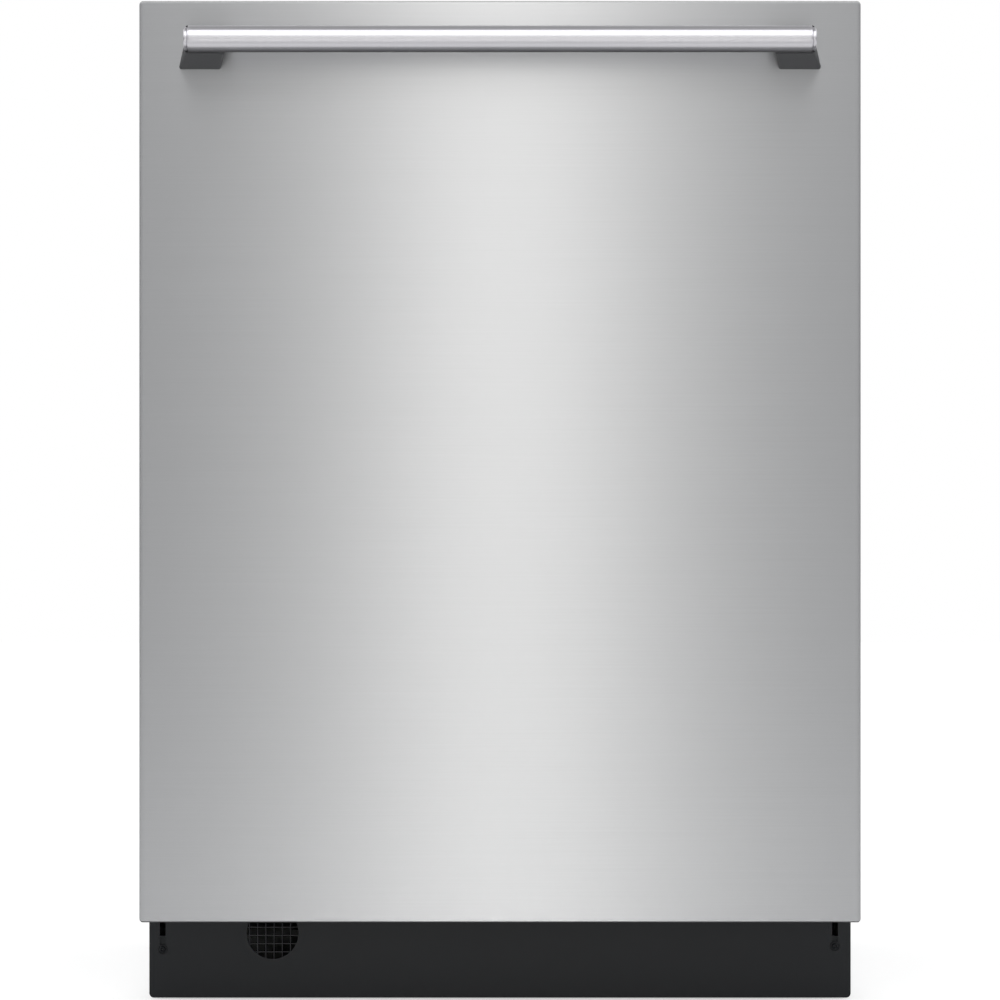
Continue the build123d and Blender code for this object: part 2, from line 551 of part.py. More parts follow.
with BuildPart() as kick_plate:
    block((-KICK_X, KICK_X), (KICK_Y, KICK_Y + SHEET), (KICK_BOTTOM, KICK_TOP))
    fillet(kick_plate.edges().filter_by(Axis.Y).group_by(Axis.Z)[0], 4)
    block((-KICK_X + 6, KICK_X - 6), (KICK_Y, KICK_Y + 5.5), (KICK_BOTTOM, KICK_BOTTOM + SHEET))
    rods_y([(GRILLE_X, KICK_Y, GRILLE_Z)], 10, GRILLE_R, Mode.SUBTRACT)
    with BuildSketch(Plane.XZ.offset(-KICK_Y)):
        with Locations(*[(x, z + 14) for x, z in KICK_SCREWS]):
            SlotOverall(36, 5.0, rotation=90)
    extrude(amount=-SHEET, mode=Mode.SUBTRACT)
write(kick_plate, "kick_plate")

with BuildPart() as air_grille:
    grille_y = (KICK_Y + SHEET, KICK_Y + SHEET + 3)
    rods_y([(GRILLE_X, sum(grille_y) / 2, GRILLE_Z)], 3, GRILLE_R + 4)
    rods_y([(GRILLE_X, sum(grille_y) / 2, GRILLE_Z)], 3, GRILLE_R, Mode.SUBTRACT)
    mesh_y = (KICK_Y + SHEET, KICK_Y + SHEET + 1.4)
    for step in range(-3, 4):
        across, upright = (shift + step * GRILLE_PITCH for shift in GRILLE_SHIFT)
        if abs(across) < GRILLE_R:
            half = (GRILLE_R**2 - across**2) ** 0.5 + 1.0
            bar_x = (GRILLE_X + across - GRILLE_WIRE, GRILLE_X + across + GRILLE_WIRE)
            block(bar_x, mesh_y, (GRILLE_Z - half, GRILLE_Z + half))
        if abs(upright) < GRILLE_R:
            half = (GRILLE_R**2 - upright**2) ** 0.5 + 1.0
            bar_z = (GRILLE_Z + upright - GRILLE_WIRE, GRILLE_Z + upright + GRILLE_WIRE)
            block((GRILLE_X - half, GRILLE_X + half), mesh_y, bar_z)
write(air_grille, "air_grille")

with BuildPart() as kick_plate_screws:
    for x, z in KICK_SCREWS:
        rods_y([(x, KICK_Y - 0.5, z)], 1.0, 4.2)
        rods_y([(x, KICK_Y - 1.9, z)], 1.8, 3.2)
        rods_y([(x, KICK_Y + 4, z)], 8.2, 2.2)
        block((x - 2.6, x + 2.6), (KICK_Y - 3, KICK_Y - 2.2), (z - 0.5, z + 0.5), Mode.SUBTRACT)
write(kick_plate_screws, "kick_plate_screws")

TAB_X = (190.0, 222.0)
TAB_HOLE_X = 206.0
TAB_HOLE_Y = FLANGE_Y + 18
TAB_TOP = 842.0
with BuildPart() as countertop_tabs:
    for side in (-1, 1):
        tab_x = mirrored(side, TAB_X)
        block(tab_x, (FLANGE_Y + SHEET, FLANGE_Y + 2.8), (814.5, TAB_TOP))
        block(tab_x, (FLANGE_Y + SHEET, FLANGE_Y + 30), (TAB_TOP - 1.6, TAB_TOP))
        rods_z([(side * TAB_HOLE_X, TAB_HOLE_Y, TAB_TOP - 5)], 10, 2.5, Mode.SUBTRACT)
write(countertop_tabs, "countertop_tabs")

# ---------------------------------------------------------------- water circuit under and in the tub
SUMP_R = 64.0
SUMP_BOTTOM = 44.0
LOWER_ARM_Z = 119.0
PUMP_Z = 65.0
with BuildPart() as sump:
    floor_under = FLOOR_Z - SHEET
    rods_z([(0, TUB_MID_Y, floor_under - 4)], 4, SUMP_HOLE_R + 12)
    rods_z([(0, TUB_MID_Y, SUMP_BOTTOM)], floor_under - 4 - SUMP_BOTTOM, SUMP_R)
    rods_x([(-65, TUB_MID_Y, PUMP_Z)], 20, 20)
    rods_x([(65, TUB_MID_Y, PUMP_Z)], 20, 15)
    fillet(sump.faces().sort_by(Axis.Z)[0].edges(), 8)
    rods_z([(0, TUB_MID_Y, SUMP_BOTTOM + 3)], 80, SUMP_R - 3, Mode.SUBTRACT)
    # the hub rises through the filter and carries the lower spray arm
    rods_z([(0, TUB_MID_Y, SUMP_BOTTOM)], LOWER_ARM_Z + 14 - SUMP_BOTTOM, 11)
    rods_z([(0, TUB_MID_Y, LOWER_ARM_Z + 11 + PLAY)], 3, 16)
write(sump, "sump")

FILTER_X, FILTER_Y, FILTER_R = 32.0, TUB_MID_Y - 18, 21.0
with BuildPart() as fine_filter:
    rods_z([(0, TUB_MID_Y, FLOOR_Z)], 2, SUMP_HOLE_R + 8)
    rods_z([(0, TUB_MID_Y, FLOOR_Z - 1)], 5, 11 + PLAY, Mode.SUBTRACT)
    rods_z([(FILTER_X, FILTER_Y, FLOOR_Z - 1)], 5, FILTER_R + PLAY, Mode.SUBTRACT)
write(fine_filter, "fine_filter")

with BuildPart() as filter_cup:
    rods_z([(FILTER_X, FILTER_Y, 60)], FLOOR_Z + 2 - 60, FILTER_R)
    rods_z([(FILTER_X, FILTER_Y, 63)], 60, FILTER_R - 2, Mode.SUBTRACT)
    grip_z = (FLOOR_Z - 6, FLOOR_Z + 1)
    block((FILTER_X - FILTER_R + 1, FILTER_X + FILTER_R - 1), (FILTER_Y - 2, FILTER_Y + 2), grip_z)
write(filter_cup, "filter_cup")


def spray_arm(reach, centre_y, bottom, bore_r):
    """Two tapering blades with a row of nozzles, free to turn on its hub."""
    with BuildPart() as made:
        with BuildSketch(Plane.XY.offset(bottom)):
            with Locations((0, centre_y)):
                Circle(28)
            with Locations((reach - 14, centre_y), (14 - reach, centre_y)):
                Circle(14)
            make_hull()
        extrude(amount=11)
        fillet(made.faces().filter_by(Axis.Z).edges(), 3)
        rods_z([(0, centre_y, bottom - 1)], 20, bore_r, Mode.SUBTRACT)
        nozzles = [(s * x, centre_y + s * 4, bottom + 7) for x in spread(60, reach - 22, 5) for s in (-1, 1)]
        rods_z(nozzles, 10, 2.2, Mode.SUBTRACT)
    return made


write(spray_arm(216, TUB_MID_Y, LOWER_ARM_Z, 11.1), "lower_spray_arm")

with BuildPart() as heating_element:
    loop_x, front_y, loop_z = 196.0, -128.0, 113.4
    with BuildLine() as heater_path:
        FilletPolyline(
            (-HEATER_LEG_X, HEATER_BACK_Y, 96),
            (-HEATER_LEG_X, HEATER_BACK_Y, loop_z),
            (-loop_x, HEATER_BACK_Y, loop_z),
            (-loop_x, front_y, loop_z),
            (loop_x, front_y, loop_z),
            (loop_x, HEATER_BACK_Y, loop_z),
            (HEATER_LEG_X, HEATER_BACK_Y, loop_z),
            (HEATER_LEG_X, HEATER_BACK_Y, 96),
            radius=[9, 60, 60, 60, 60, 9],
        )
    with BuildSketch(Plane(origin=heater_path.line @ 0, z_dir=heater_path.line % 0)):
        Circle(3.6)
    sweep()
write(heating_element, "heating_element")

with BuildPart() as float_switch:
    rods_z([(FLOAT_X, FLOAT_Y, FLOOR_Z + PLAY)], 20, 15)
    fillet(float_switch.faces().sort_by(Axis.Z)[-1].edges(), 7)
    rods_z([(FLOAT_X, FLOAT_Y, 82)], FLOOR_Z + PLAY - 82, 5.4)
write(float_switch, "float_switch")

DUCT_Y = TUB_BACK_Y - 17
DOCK_Z = 452.0
with BuildPart() as water_duct:
    block((-22, 22), (DUCT_Y, TUB_BACK_Y), (TRACK_Z, TUB_TOP - 1))
    fillet(water_duct.edges().filter_by(Axis.Z).group_by(Axis.Y)[0], 5)
    block((-22, 22), (TUB_MID_Y, DUCT_Y + 8), (TUB_TOP - 17, TUB_TOP - 1))
    rods_y([(0, DUCT_Y - 3, DOCK_Z)], 6, 17)
    # the feed runs along the floor from the sump and steps over the basin's rear slope
    block((-12, 12), (TUB_MID_Y + 13, 270), (FLOOR_Z + 2.3, LOWER_ARM_Z - 2))
    block((-12, 12), (262, 270), (FLOOR_Z + 2.3, TRACK_Z + 12))
    block((-12, 12), (262, DUCT_Y + 2), (TRACK_Z + 1, TRACK_Z + 12))
    rods_z([(0, TUB_MID_Y, TUB_TOP - 27)], 26, 40)
    angles = [radians(a) for a in range(0, 360, 45)]
    holes = [(26 * cos(a), TUB_MID_Y + 26 * sin(a), TUB_TOP - 28) for a in angles]
    rods_z(holes, 4, 2.4, Mode.SUBTRACT)
write(water_duct, "water_duct")

with BuildPart() as wash_pump:
    rods_x([(-132, TUB_MID_Y, PUMP_Z)], 114, 29)
    rods_x([(-86, TUB_MID_Y, PUMP_Z)], 22, 34)
    rods_x([(x, TUB_MID_Y, PUMP_Z) for x in spread(-180, -110, 8)], 3, 32)
    block((-180, -110), (TUB_MID_Y - 18, TUB_MID_Y + 18), (PAN_Z, PUMP_Z - 20))
write(wash_pump, "wash_pump")

with BuildPart() as drain_pump:
    rods_x([(90, TUB_MID_Y, PUMP_Z)], 30, 30)
    rods_x([(125, TUB_MID_Y, PUMP_Z)], 40, 22)
    rods_y([(92, TUB_MID_Y + 36, PUMP_Z)], 24, 9)
    block((80, 140), (TUB_MID_Y - 14, TUB_MID_Y + 14), (PAN_Z, PUMP_Z - 18))
write(drain_pump, "drain_pump")


def port(x, radius):
    """Hose end behind the rear panel, with a narrower neck where it passes through."""
    rods_y([(x, BACK_Y - PORT_LENGTH / 2, PORT_Z)], PORT_LENGTH, radius)
    rods_y([(x, PANEL_Y + PORT_NECK / 2, PORT_Z)], PORT_NECK, radius - 0.8)


with BuildPart() as drain_line:
    with BuildLine() as hose_path:
        FilletPolyline(
            (92, TUB_MID_Y + 48, PUMP_Z),
            (92, 130, PUMP_Z),
            (130, 190, PUMP_Z - 3),
            (190, 240, PUMP_Z + 2),
            (DRAIN_X, 275, PORT_Z),
            (DRAIN_X, PANEL_Y - 20, PORT_Z),
            radius=[50, 55, 40, 30],
        )
    with BuildSketch(Plane(origin=hose_path.line @ 0, z_dir=hose_path.line % 0)):
        Circle(11)
    sweep()
    rods_y([(DRAIN_X, PANEL_Y - 10, PORT_Z)], 20, 15)
    port(DRAIN_X, DRAIN_R)
    rods_y([(DRAIN_X, BACK_Y, PORT_Z)], 40, 6.5, Mode.SUBTRACT)
write(drain_line, "drain_line")

with BuildPart() as inlet_valve:
    port(INLET_X, INLET_R)
    block((INLET_X - 22, INLET_X + 22), (PANEL_Y - 40, PANEL_Y), (PORT_Z - 20, PORT_Z + 18))
    rods_z([(INLET_X, PANEL_Y - 24, PORT_Z + 18)], 14, 14)
    rods_y([(INLET_X, BACK_Y, PORT_Z)], 30, 9.5, Mode.SUBTRACT)
    block((INLET_X - 8, INLET_X + 8), (PANEL_Y - 52, PANEL_Y - 40), (PORT_Z - 10, PORT_Z + 6))
write(inlet_valve, "inlet_valve")

with BuildPart() as power_box:
    box_y = (PANEL_Y - 46, PANEL_Y)
    block((POWER_X - 40, POWER_X + 40), box_y, (PAN_Z + 14, PORT_Z + 32))
    fillet(power_box.edges().filter_by(Axis.Y), 4)
    inner_y = (PANEL_Y - 50, PANEL_Y - 2)
    block((POWER_X - 38, POWER_X + 38), inner_y, (PAN_Z + 16, PORT_Z + 30), Mode.SUBTRACT)
    rods_y([(POWER_X, PANEL_Y - 1, PORT_Z)], 6, KNOCKOUT_R, Mode.SUBTRACT)
    # its cover is a plate of its own
    cover_y = (PANEL_Y - 46 - TOUCH - 1.6, PANEL_Y - 46 - TOUCH)
    block((POWER_X - 40, POWER_X + 40), cover_y, (PAN_Z + 14, PORT_Z + 32))
write(power_box, "power_box")

# ---------------------------------------------------------------- lower rack
RACK_X = 240.0
LOWER_FRONT_Y, LOWER_BACK_Y = -188.0, 274.0
LOWER_Z = 152.0          # centre of the lengthwise bottom wires
WHEEL_R = 17.0
WHEEL_X = (246.0, 258.0)
WHEEL_Z = TRACK_Z + PLAY + WHEEL_R
WHEEL_YS = (-58.0, 196.0)
LAYER = 2 * WIRE_R + TOUCH


def basket(front_y, back_y, bottom_z, rim_zs, uprights_z):
    """Straight welded wires: a bottom grid, uprights on all four sides, and rims outside them."""
    mid_y = (front_y + back_y) / 2
    length = back_y - front_y
    for x in spread(-RACK_X + 20, RACK_X - 20, 12):
        rods_y([(x, mid_y, bottom_z)], length - 12)
    for y in spread(front_y + 14, back_y - 14, 8):
        rods_x([(0, y, bottom_z + LAYER)], 2 * RACK_X - 12)
    top = max(rim_zs)
    side_xs = spread(-RACK_X + 30, RACK_X - 30, 9)
    for y in (front_y + LAYER, back_y - LAYER):
        rods_z([(x + 5, y, uprights_z) for x in side_xs], top - uprights_z + 2)
    for x in (-RACK_X + LAYER, RACK_X - LAYER):
        rods_z([(x, y + 4, uprights_z) for y in spread(front_y + 34, back_y - 34, 8)], top - uprights_z + 2)
    for z in rim_zs:
        rods_x([(0, front_y, z), (0, back_y, z)], 2 * RACK_X + 4)
        rods_y([(-RACK_X, mid_y, z), (RACK_X, mid_y, z)], length - LAYER)


with BuildPart() as lower_rack:
    basket(LOWER_FRONT_Y, LOWER_BACK_Y, LOWER_Z, (LOWER_Z + 6, 215, 272), LOWER_Z - 4)
    for row_y in (222.0, 170.0):
        # a row of tines stands on a cross wire of its own
        rods_x([(0, row_y, LOWER_Z + LAYER)], 2 * RACK_X - 12)
        rods_z([(x, row_y, LOWER_Z + LAYER + WIRE_R + TOUCH) for x in spread(-196, 116, 9)], 92)
    # moulded carriers on the sides hold the wheels' axles
    for side in (-1, 1):
        for wheel_y in WHEEL_YS:
            rods_x([(side * 249, wheel_y, WHEEL_Z)], 18, 3.0)
            rods_x([(side * 259.2, wheel_y, WHEEL_Z)], 1.6, 5.0)
            carrier = mirrored(side, (RACK_X + WIRE_R + TOUCH, WHEEL_X[0] - PLAY))
            block(carrier, (wheel_y - 16, wheel_y + 16), (WHEEL_Z - 6, 222))
write(lower_rack, "lower_rack")


def wheel_pair(wheel_y):
    """The two wheels on one axle line of the lower rack."""
    with BuildPart() as made:
        for side in (-1, 1):
            middle = (side * sum(WHEEL_X) / 2, wheel_y, WHEEL_Z)
            rods_x([middle], WHEEL_X[1] - WHEEL_X[0], WHEEL_R)
            rods_x([middle], WHEEL_X[1] - WHEEL_X[0], 3.0 + PIN_PLAY, Mode.SUBTRACT)
    return made


write(wheel_pair(WHEEL_YS[0]), "lower_front_wheels")
write(wheel_pair(WHEEL_YS[1]), "lower_rear_wheels")

FOLD_Y, FOLD_Z = 40.0, LOWER_Z + LAYER + 2 * WIRE_R + PLAY
with BuildPart() as folding_tines:
    rods_x([(-40, FOLD_Y, FOLD_Z)], 332)
    rods_z([(x, FOLD_Y, FOLD_Z + WIRE_R + TOUCH) for x in spread(-196, 116, 9)], 88)
write(folding_tines, "folding_tines")

BASKET_X = (146.0, 228.0)
BASKET_Y = (-160.0, 110.0)
BASKET_Z = (LOWER_Z + LAYER + WIRE_R + PLAY, 268.0)
with BuildPart() as silverware_basket:
    block(BASKET_X, BASKET_Y, BASKET_Z)
    fillet(silverware_basket.edges().filter_by(Axis.Z), 6)
    pocket = (BASKET_Y[1] - BASKET_Y[0] - 8) / 3
    for n in range(3):
        start_y = BASKET_Y[0] + 2 + n * (pocket + 2)
        pocket_x = (BASKET_X[0] + 2, BASKET_X[1] - 2)
        block(pocket_x, (start_y, start_y + pocket), (BASKET_Z[0] + 2, 300), Mode.SUBTRACT)
    handle_x = (sum(BASKET_X) / 2 - 4, sum(BASKET_X) / 2 + 4)
    for y in (BASKET_Y[0] + 2 + pocket, BASKET_Y[0] + 4 + 2 * pocket):
        block(handle_x, (y, y + 2), (250, 300))
    block(handle_x, (BASKET_Y[0] + 2 + pocket, BASKET_Y[0] + 6 + 2 * pocket), (296, 302))
write(silverware_basket, "silverware_basket")

# ---------------------------------------------------------------- upper rack and its telescoping rails
UPPER_FRONT_Y, UPPER_BACK_Y = -188.0, 272.0
UPPER_Z = 476.0
RAIL_Z = 578.0
RAIL_HALF = 12.2
RAIL_WEB_X = (261.4, 262.6)
RAIL_Y = (-204.0, 284.0)
ROLLER_R = 10.6
WALL_ROLLER_YS = (-186.0, -66.0)
RACK_ROLLER_YS = (64.0, 256.0)

with BuildPart() as upper_rails:
    for side in (-1, 1):
        block(mirrored(side, RAIL_WEB_X), RAIL_Y, (RAIL_Z - RAIL_HALF, RAIL_Z + RAIL_HALF))
        for z in (RAIL_Z - RAIL_HALF, RAIL_Z + RAIL_HALF - 1.2):
            block(mirrored(side, (253.4, 270.6)), RAIL_Y, (z, z + 1.2))
write(upper_rails, "upper_rails")

with BuildPart() as wall_rollers:
    for side in (-1, 1):
        rods_x([(side * 266.6, y, RAIL_Z) for y in WALL_ROLLER_YS], 6.6, ROLLER_R)
        rods_x([(side * 270.95, y, RAIL_Z) for y in WALL_ROLLER_YS], 2.1, 4)
write(wall_rollers, "wall_rollers")

with BuildPart() as upper_rack:
    basket(UPPER_FRONT_Y, UPPER_BACK_Y, UPPER_Z, (UPPER_Z + 6, 540, 600), UPPER_Z - 4)
    for row_x in (-60.0, 60.0):
        rods_z([(row_x, y, UPPER_Z + WIRE_R + TOUCH) for y in spread(-140, 236, 9)], 64)
    # side plates carry the rollers that run inside the rails
    for side in (-1, 1):
        plate = mirrored(side, (RACK_X + WIRE_R + TOUCH, 249.5))
        block(plate, (RACK_ROLLER_YS[0] - 20, RACK_ROLLER_YS[1] + 12), (536, 603))
        rods_x([(side * 255.2, y, RAIL_Z) for y in RACK_ROLLER_YS], 11.4, 3.0)
write(upper_rack, "upper_rack")

with BuildPart() as upper_rack_rollers:
    for side in (-1, 1):
        rods_x([(side * 256.8, y, RAIL_Z) for y in RACK_ROLLER_YS], 6.4, ROLLER_R)
        rods_x([(side * 256.8, y, RAIL_Z) for y in RACK_ROLLER_YS], 6.4, 3.0, Mode.SUBTRACT)
write(upper_rack_rollers, "upper_rack_rollers")

UPPER_ARM_Z = 434.0
with BuildPart() as upper_manifold:
    pipe_z = DOCK_Z + 5
    pipe_end = DUCT_Y - 6.4
    rods_y([(0, (TUB_MID_Y + pipe_end) / 2, pipe_z)], pipe_end - TUB_MID_Y, 9)
    rods_y([(0, pipe_end - 6, DOCK_Z + 2)], 12, 14)
    rods_z([(0, TUB_MID_Y, UPPER_ARM_Z - 4)], pipe_z + 12 - UPPER_ARM_Z + 4, 10)
    rods_z([(0, TUB_MID_Y, UPPER_ARM_Z - 4)], 4 - PLAY, 15)
    rods_z([(0, TUB_MID_Y, pipe_z + 12)], UPPER_Z - WIRE_R - TOUCH - pipe_z - 12, 7)
write(upper_manifold, "upper_manifold")
write(spray_arm(205, TUB_MID_Y, UPPER_ARM_Z, 10.1), "upper_spray_arm")

SHELF_X, SHELF_Y, SHELF_Z = (-229.0, -136.0), (-30.0, 150.0), 546.0
with BuildPart() as cup_shelf:
    rods_y([(SHELF_X[0], sum(SHELF_Y) / 2, SHELF_Z)], SHELF_Y[1] - SHELF_Y[0] + 10, 2.6)
    block(SHELF_X, SHELF_Y, (SHELF_Z - 1.5, SHELF_Z + 1.5))
    for y in spread(SHELF_Y[0] + 22, SHELF_Y[1] - 22, 6):
        slot_x = (SHELF_X[0] + 13, SHELF_X[1] - 12)
        block(slot_x, (y - 7, y + 7), (SHELF_Z - 3, SHELF_Z + 3), Mode.SUBTRACT)
write(cup_shelf, "cup_shelf")
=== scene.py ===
"""A built-in dishwasher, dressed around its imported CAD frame.

X runs to the right, Y towards the back and Z up. Shapes are worked out in millimetres and put
into the meshes in metres. Pieces that are only better drawn here take the place of a CAD node;
the other nodes stay and get their finish.
"""

from math import pi, radians

import bpy
import numpy as np
from bpy.props import FloatProperty, FloatVectorProperty, IntProperty, PointerProperty
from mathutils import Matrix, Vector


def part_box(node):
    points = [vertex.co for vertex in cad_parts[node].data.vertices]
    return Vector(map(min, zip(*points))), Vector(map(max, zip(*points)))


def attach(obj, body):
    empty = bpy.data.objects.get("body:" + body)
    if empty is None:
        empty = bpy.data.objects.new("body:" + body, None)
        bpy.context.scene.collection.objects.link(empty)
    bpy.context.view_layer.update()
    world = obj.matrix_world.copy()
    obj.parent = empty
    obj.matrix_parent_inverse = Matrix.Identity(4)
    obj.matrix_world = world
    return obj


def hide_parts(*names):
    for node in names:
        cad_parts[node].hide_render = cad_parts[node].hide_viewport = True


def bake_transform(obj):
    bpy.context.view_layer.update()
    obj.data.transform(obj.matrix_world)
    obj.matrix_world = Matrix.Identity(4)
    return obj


bl_info = {
    "name": "Built-in dishwasher",
    "version": (1, 0, 0),
    "blender": (4, 5, 0),
    "location": "View3D > Sidebar > Dishwasher",
    "description": "Dresses the frame of a built-in dishwasher with sheet, wire, felt and finishes",
    "category": "Object",
}

MM = 0.001
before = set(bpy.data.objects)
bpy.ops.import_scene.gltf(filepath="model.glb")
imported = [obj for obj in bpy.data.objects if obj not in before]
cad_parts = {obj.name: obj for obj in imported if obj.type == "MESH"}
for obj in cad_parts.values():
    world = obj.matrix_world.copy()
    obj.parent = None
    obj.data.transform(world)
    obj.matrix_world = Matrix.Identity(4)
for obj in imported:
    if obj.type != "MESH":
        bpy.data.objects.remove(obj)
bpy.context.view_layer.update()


# ------------------------------------------------------------------ shapes as arrays, in millimetres
# the two axes that a flat ring lies in, and the one that it is raised along
PLANES = {"x": (1, 2, 0), "y": (0, 2, 1), "z": (0, 1, 2)}
SHARPEST = 0.05  # least radius left at an outline's corner
SUNK = 0.4  # how far a pressed pad's foot is sunk into its sheet


def span(node):
    """Lowest and highest corner of a CAD node at rest, in millimetres."""
    low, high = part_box(node)
    return np.array(low) / MM, np.array(high) / MM


def round_along_x(node):
    """Lowest and highest corner, centre (y, z) and radius of a CAD node that is round about X."""
    low, high = span(node)
    return low, high, (low + high)[1:] / 2, (high[2] - low[2]) / 2


def unit(vectors):
    """Each vector divided by its length."""
    return vectors / np.linalg.norm(vectors, axis=-1, keepdims=True)


def outward(points, faces):
    """Turns all faces round if the shell's volume, a sixth of the sum of a . (b x c) over the
    triangles of every face, comes out negative."""
    volume = 0.0
    for polygons in faces:
        corners = points[polygons]
        fan = np.cross(corners[:, 1:-1], corners[:, 2:])
        volume += np.einsum("nij,nij->", np.broadcast_to(corners[:, :1], fan.shape), fan)
    return points, faces if volume > 0 else [polygons[:, ::-1] for polygons in faces]


def shell(points, loop=False):
    """A closed shell from a grid of points (rings, points of a ring, 3). Four neighbours make a
    face, a ring's last point joins its first, and the end rings are closed by a flat face each,
    or join each other where the rings run in a loop."""
    rows, columns = points.shape[:2]
    index = np.arange(rows * columns).reshape(rows, columns)
    around = np.hstack([index, index[:, :1]])
    if loop:
        around = np.vstack([around, around[:1]])
    quads = [around[:-1, :-1], around[:-1, 1:], around[1:, 1:], around[1:, :-1]]
    faces = [np.stack(quads, -1).reshape(-1, 4)]
    if not loop:
        faces += [index[:1, ::-1], index[-1:]]
    return outward(points.reshape(-1, 3), faces)


def raised(rings, levels, axis, centre=(0, 0), loop=False):
    """Flat rings (k, n, 2) set at k levels along an axis; the rings lie in the other two axes."""
    points = np.empty((*rings.shape[:2], 3))
    across, upright, along = PLANES[axis]
    points[..., across] = rings[..., 0] + centre[0]
    points[..., upright] = rings[..., 1] + centre[1]
    points[..., along] = np.reshape(levels, (len(rings), -1))
    return shell(points, loop)


def rounded(width, height, corner, inset=(0.0,), steps=5):
    """Outlines (k, n, 2) of a rounded rectangle, one for each inset: a quarter circle of points,
    (cos a, sin a) times the radius that is left, moved out to each of the four corners."""
    inset = np.reshape(inset, (-1, 1, 1, 1))
    angle = (np.arange(4)[:, None] + np.linspace(0, 1, steps + 1)) * pi / 2
    radius = np.maximum(corner - inset, SHARPEST)
    signs = np.array([(1, 1), (-1, 1), (-1, -1), (1, -1)])[None, :, None]
    corners = signs * (np.array([width, height]) / 2 - inset - radius)
    outline = corners + radius * np.stack([np.cos(angle), np.sin(angle)], -1)
    return outline.reshape(len(inset), -1, 2)


def slab(axis, centre, size, levels, corner=2.0, edge=0.6):
    """A plate with rounded corners and edges: at both faces the outline shrinks by e (1 - sin a)
    while it rises by e (1 - cos a), with a from 0 to a right angle."""
    angle = np.linspace(0, pi / 2, 4)
    inset, rise = edge * (1 - np.sin(angle)), edge * (1 - np.cos(angle))
    rings = rounded(*size, corner, np.concatenate([inset, inset[::-1]]))
    return raised(rings, np.concatenate([levels[0] + rise, levels[1] - rise[::-1]]), axis, centre)


def pressing(axis, centre, size, level, height, corner=9.0, slope=5.0):
    """A pad pressed out of a sheet: its outline shrinks by the slope's width times t while it
    rises by the height times (1 - cos pi t) / 2; its foot is sunk into the sheet."""
    step = np.linspace(0, 1, 7)
    rise = np.concatenate([[-SUNK * np.sign(height)], height * (1 - np.cos(pi * step)) / 2])
    rings = rounded(*size, corner, np.concatenate([[0], slope * step]))
    return raised(rings, level + rise, axis, centre)


def turned(profile, axis, centre, segments=40, loop=False):
    """(level, radius) pairs turned about an axis: each pair becomes a circle of points."""
    level, radius = np.asarray(profile, float).T
    angle = np.linspace(0, 2 * pi, segments, endpoint=False)
    rings = radius[:, None, None] * np.stack([np.cos(angle), np.sin(angle)], -1)
    return raised(rings, level, axis, centre, loop)


def turned_on(side, profile, centre, segments, loop=False):
    """A profile turned about a line along X, on the right (1) or mirrored to the left (-1)."""
    return turned(np.array(profile) * (side, 1), "x", centre, segments, loop)


def levels_on(side, inner, outer):
    """Two levels along X on the right (1) or on the left (-1), the lower one first."""
    return sorted((side * inner, side * outer))


def threaded(radius, depth, pitch, levels, centre):
    """A screw thread along Z: the radius falls by the depth times |2 f - 1|, where f is the
    fraction of (level / pitch - angle / full turn), in four rings to a pitch."""
    level = np.arange(levels[0], levels[1], pitch / 4)[:, None]
    angle = np.linspace(0, 2 * pi, 28, endpoint=False)
    wave = np.abs(2 * ((level / pitch - angle / (2 * pi)) % 1) - 1)
    rings = (radius - depth * wave)[..., None] * np.stack([np.cos(angle), np.sin(angle)], -1)
    return raised(rings, level, "z", centre)


def oval(half_width, half_height, power=1.0, count=10):
    """A ring (n, 2) with |cos a| and |sin a| raised to a power: 1 is an ellipse, less is boxier."""
    angle = np.linspace(0, 2 * pi, count, endpoint=False)
    flat = np.stack([np.cos(angle), np.sin(angle)], -1)
    return np.sign(flat) * np.abs(flat) ** power * (half_width, half_height)


def bent(corners, radius, steps=5):
    """A bent wire's line: each inner corner c becomes the curve (1-t)^2 a + 2t(1-t) c + t^2 b
    between the points a and b that lie one radius before and after it."""
    corners = np.asarray(corners, float)
    corner = corners[1:-1, None]
    start = corner + radius * unit(corners[:-2] - corners[1:-1])[:, None]
    end = corner + radius * unit(corners[2:] - corners[1:-1])[:, None]
    t = np.linspace(0, 1, steps + 1)[None, :, None]
    curves = (1 - t) ** 2 * start + 2 * t * (1 - t) * corner + t * t * end
    return np.vstack([corners[:1], curves.reshape(-1, 3), corners[-1:]])


def spaced(path, step):
    """The same line with its points evenly spaced, read off along its length."""
    along = np.concatenate([[0], np.cumsum(np.linalg.norm(np.diff(path, axis=0), axis=1))])
    wanted = np.linspace(0, along[-1], int(along[-1] / step) + 1)
    return np.stack([np.interp(wanted, along, path[:, axis]) for axis in range(3)], -1)


def swept(path, ring, normal, loop=False, share=1.0):
    """A ring of (sideways, upwards) offsets carried along a path. The tangent t joins a point's
    two neighbours, upwards is the normal n made square to t, and sideways is t x n."""
    ahead = np.roll(path, -1, 0) - np.roll(path, 1, 0) if loop else np.gradient(path, axis=0)
    tangent = unit(ahead)
    normal = np.broadcast_to(np.asarray(normal, float), path.shape)
    upwards = unit(normal - np.sum(normal * tangent, -1, keepdims=True) * tangent)
    sideways = np.cross(tangent, upwards)
    ring = ring * np.reshape(share, (-1, 1, 1))
    offsets = ring[..., :1] * sideways[:, None] + ring[..., 1:] * upwards[:, None]
    return shell(path[:, None] + offsets, loop)


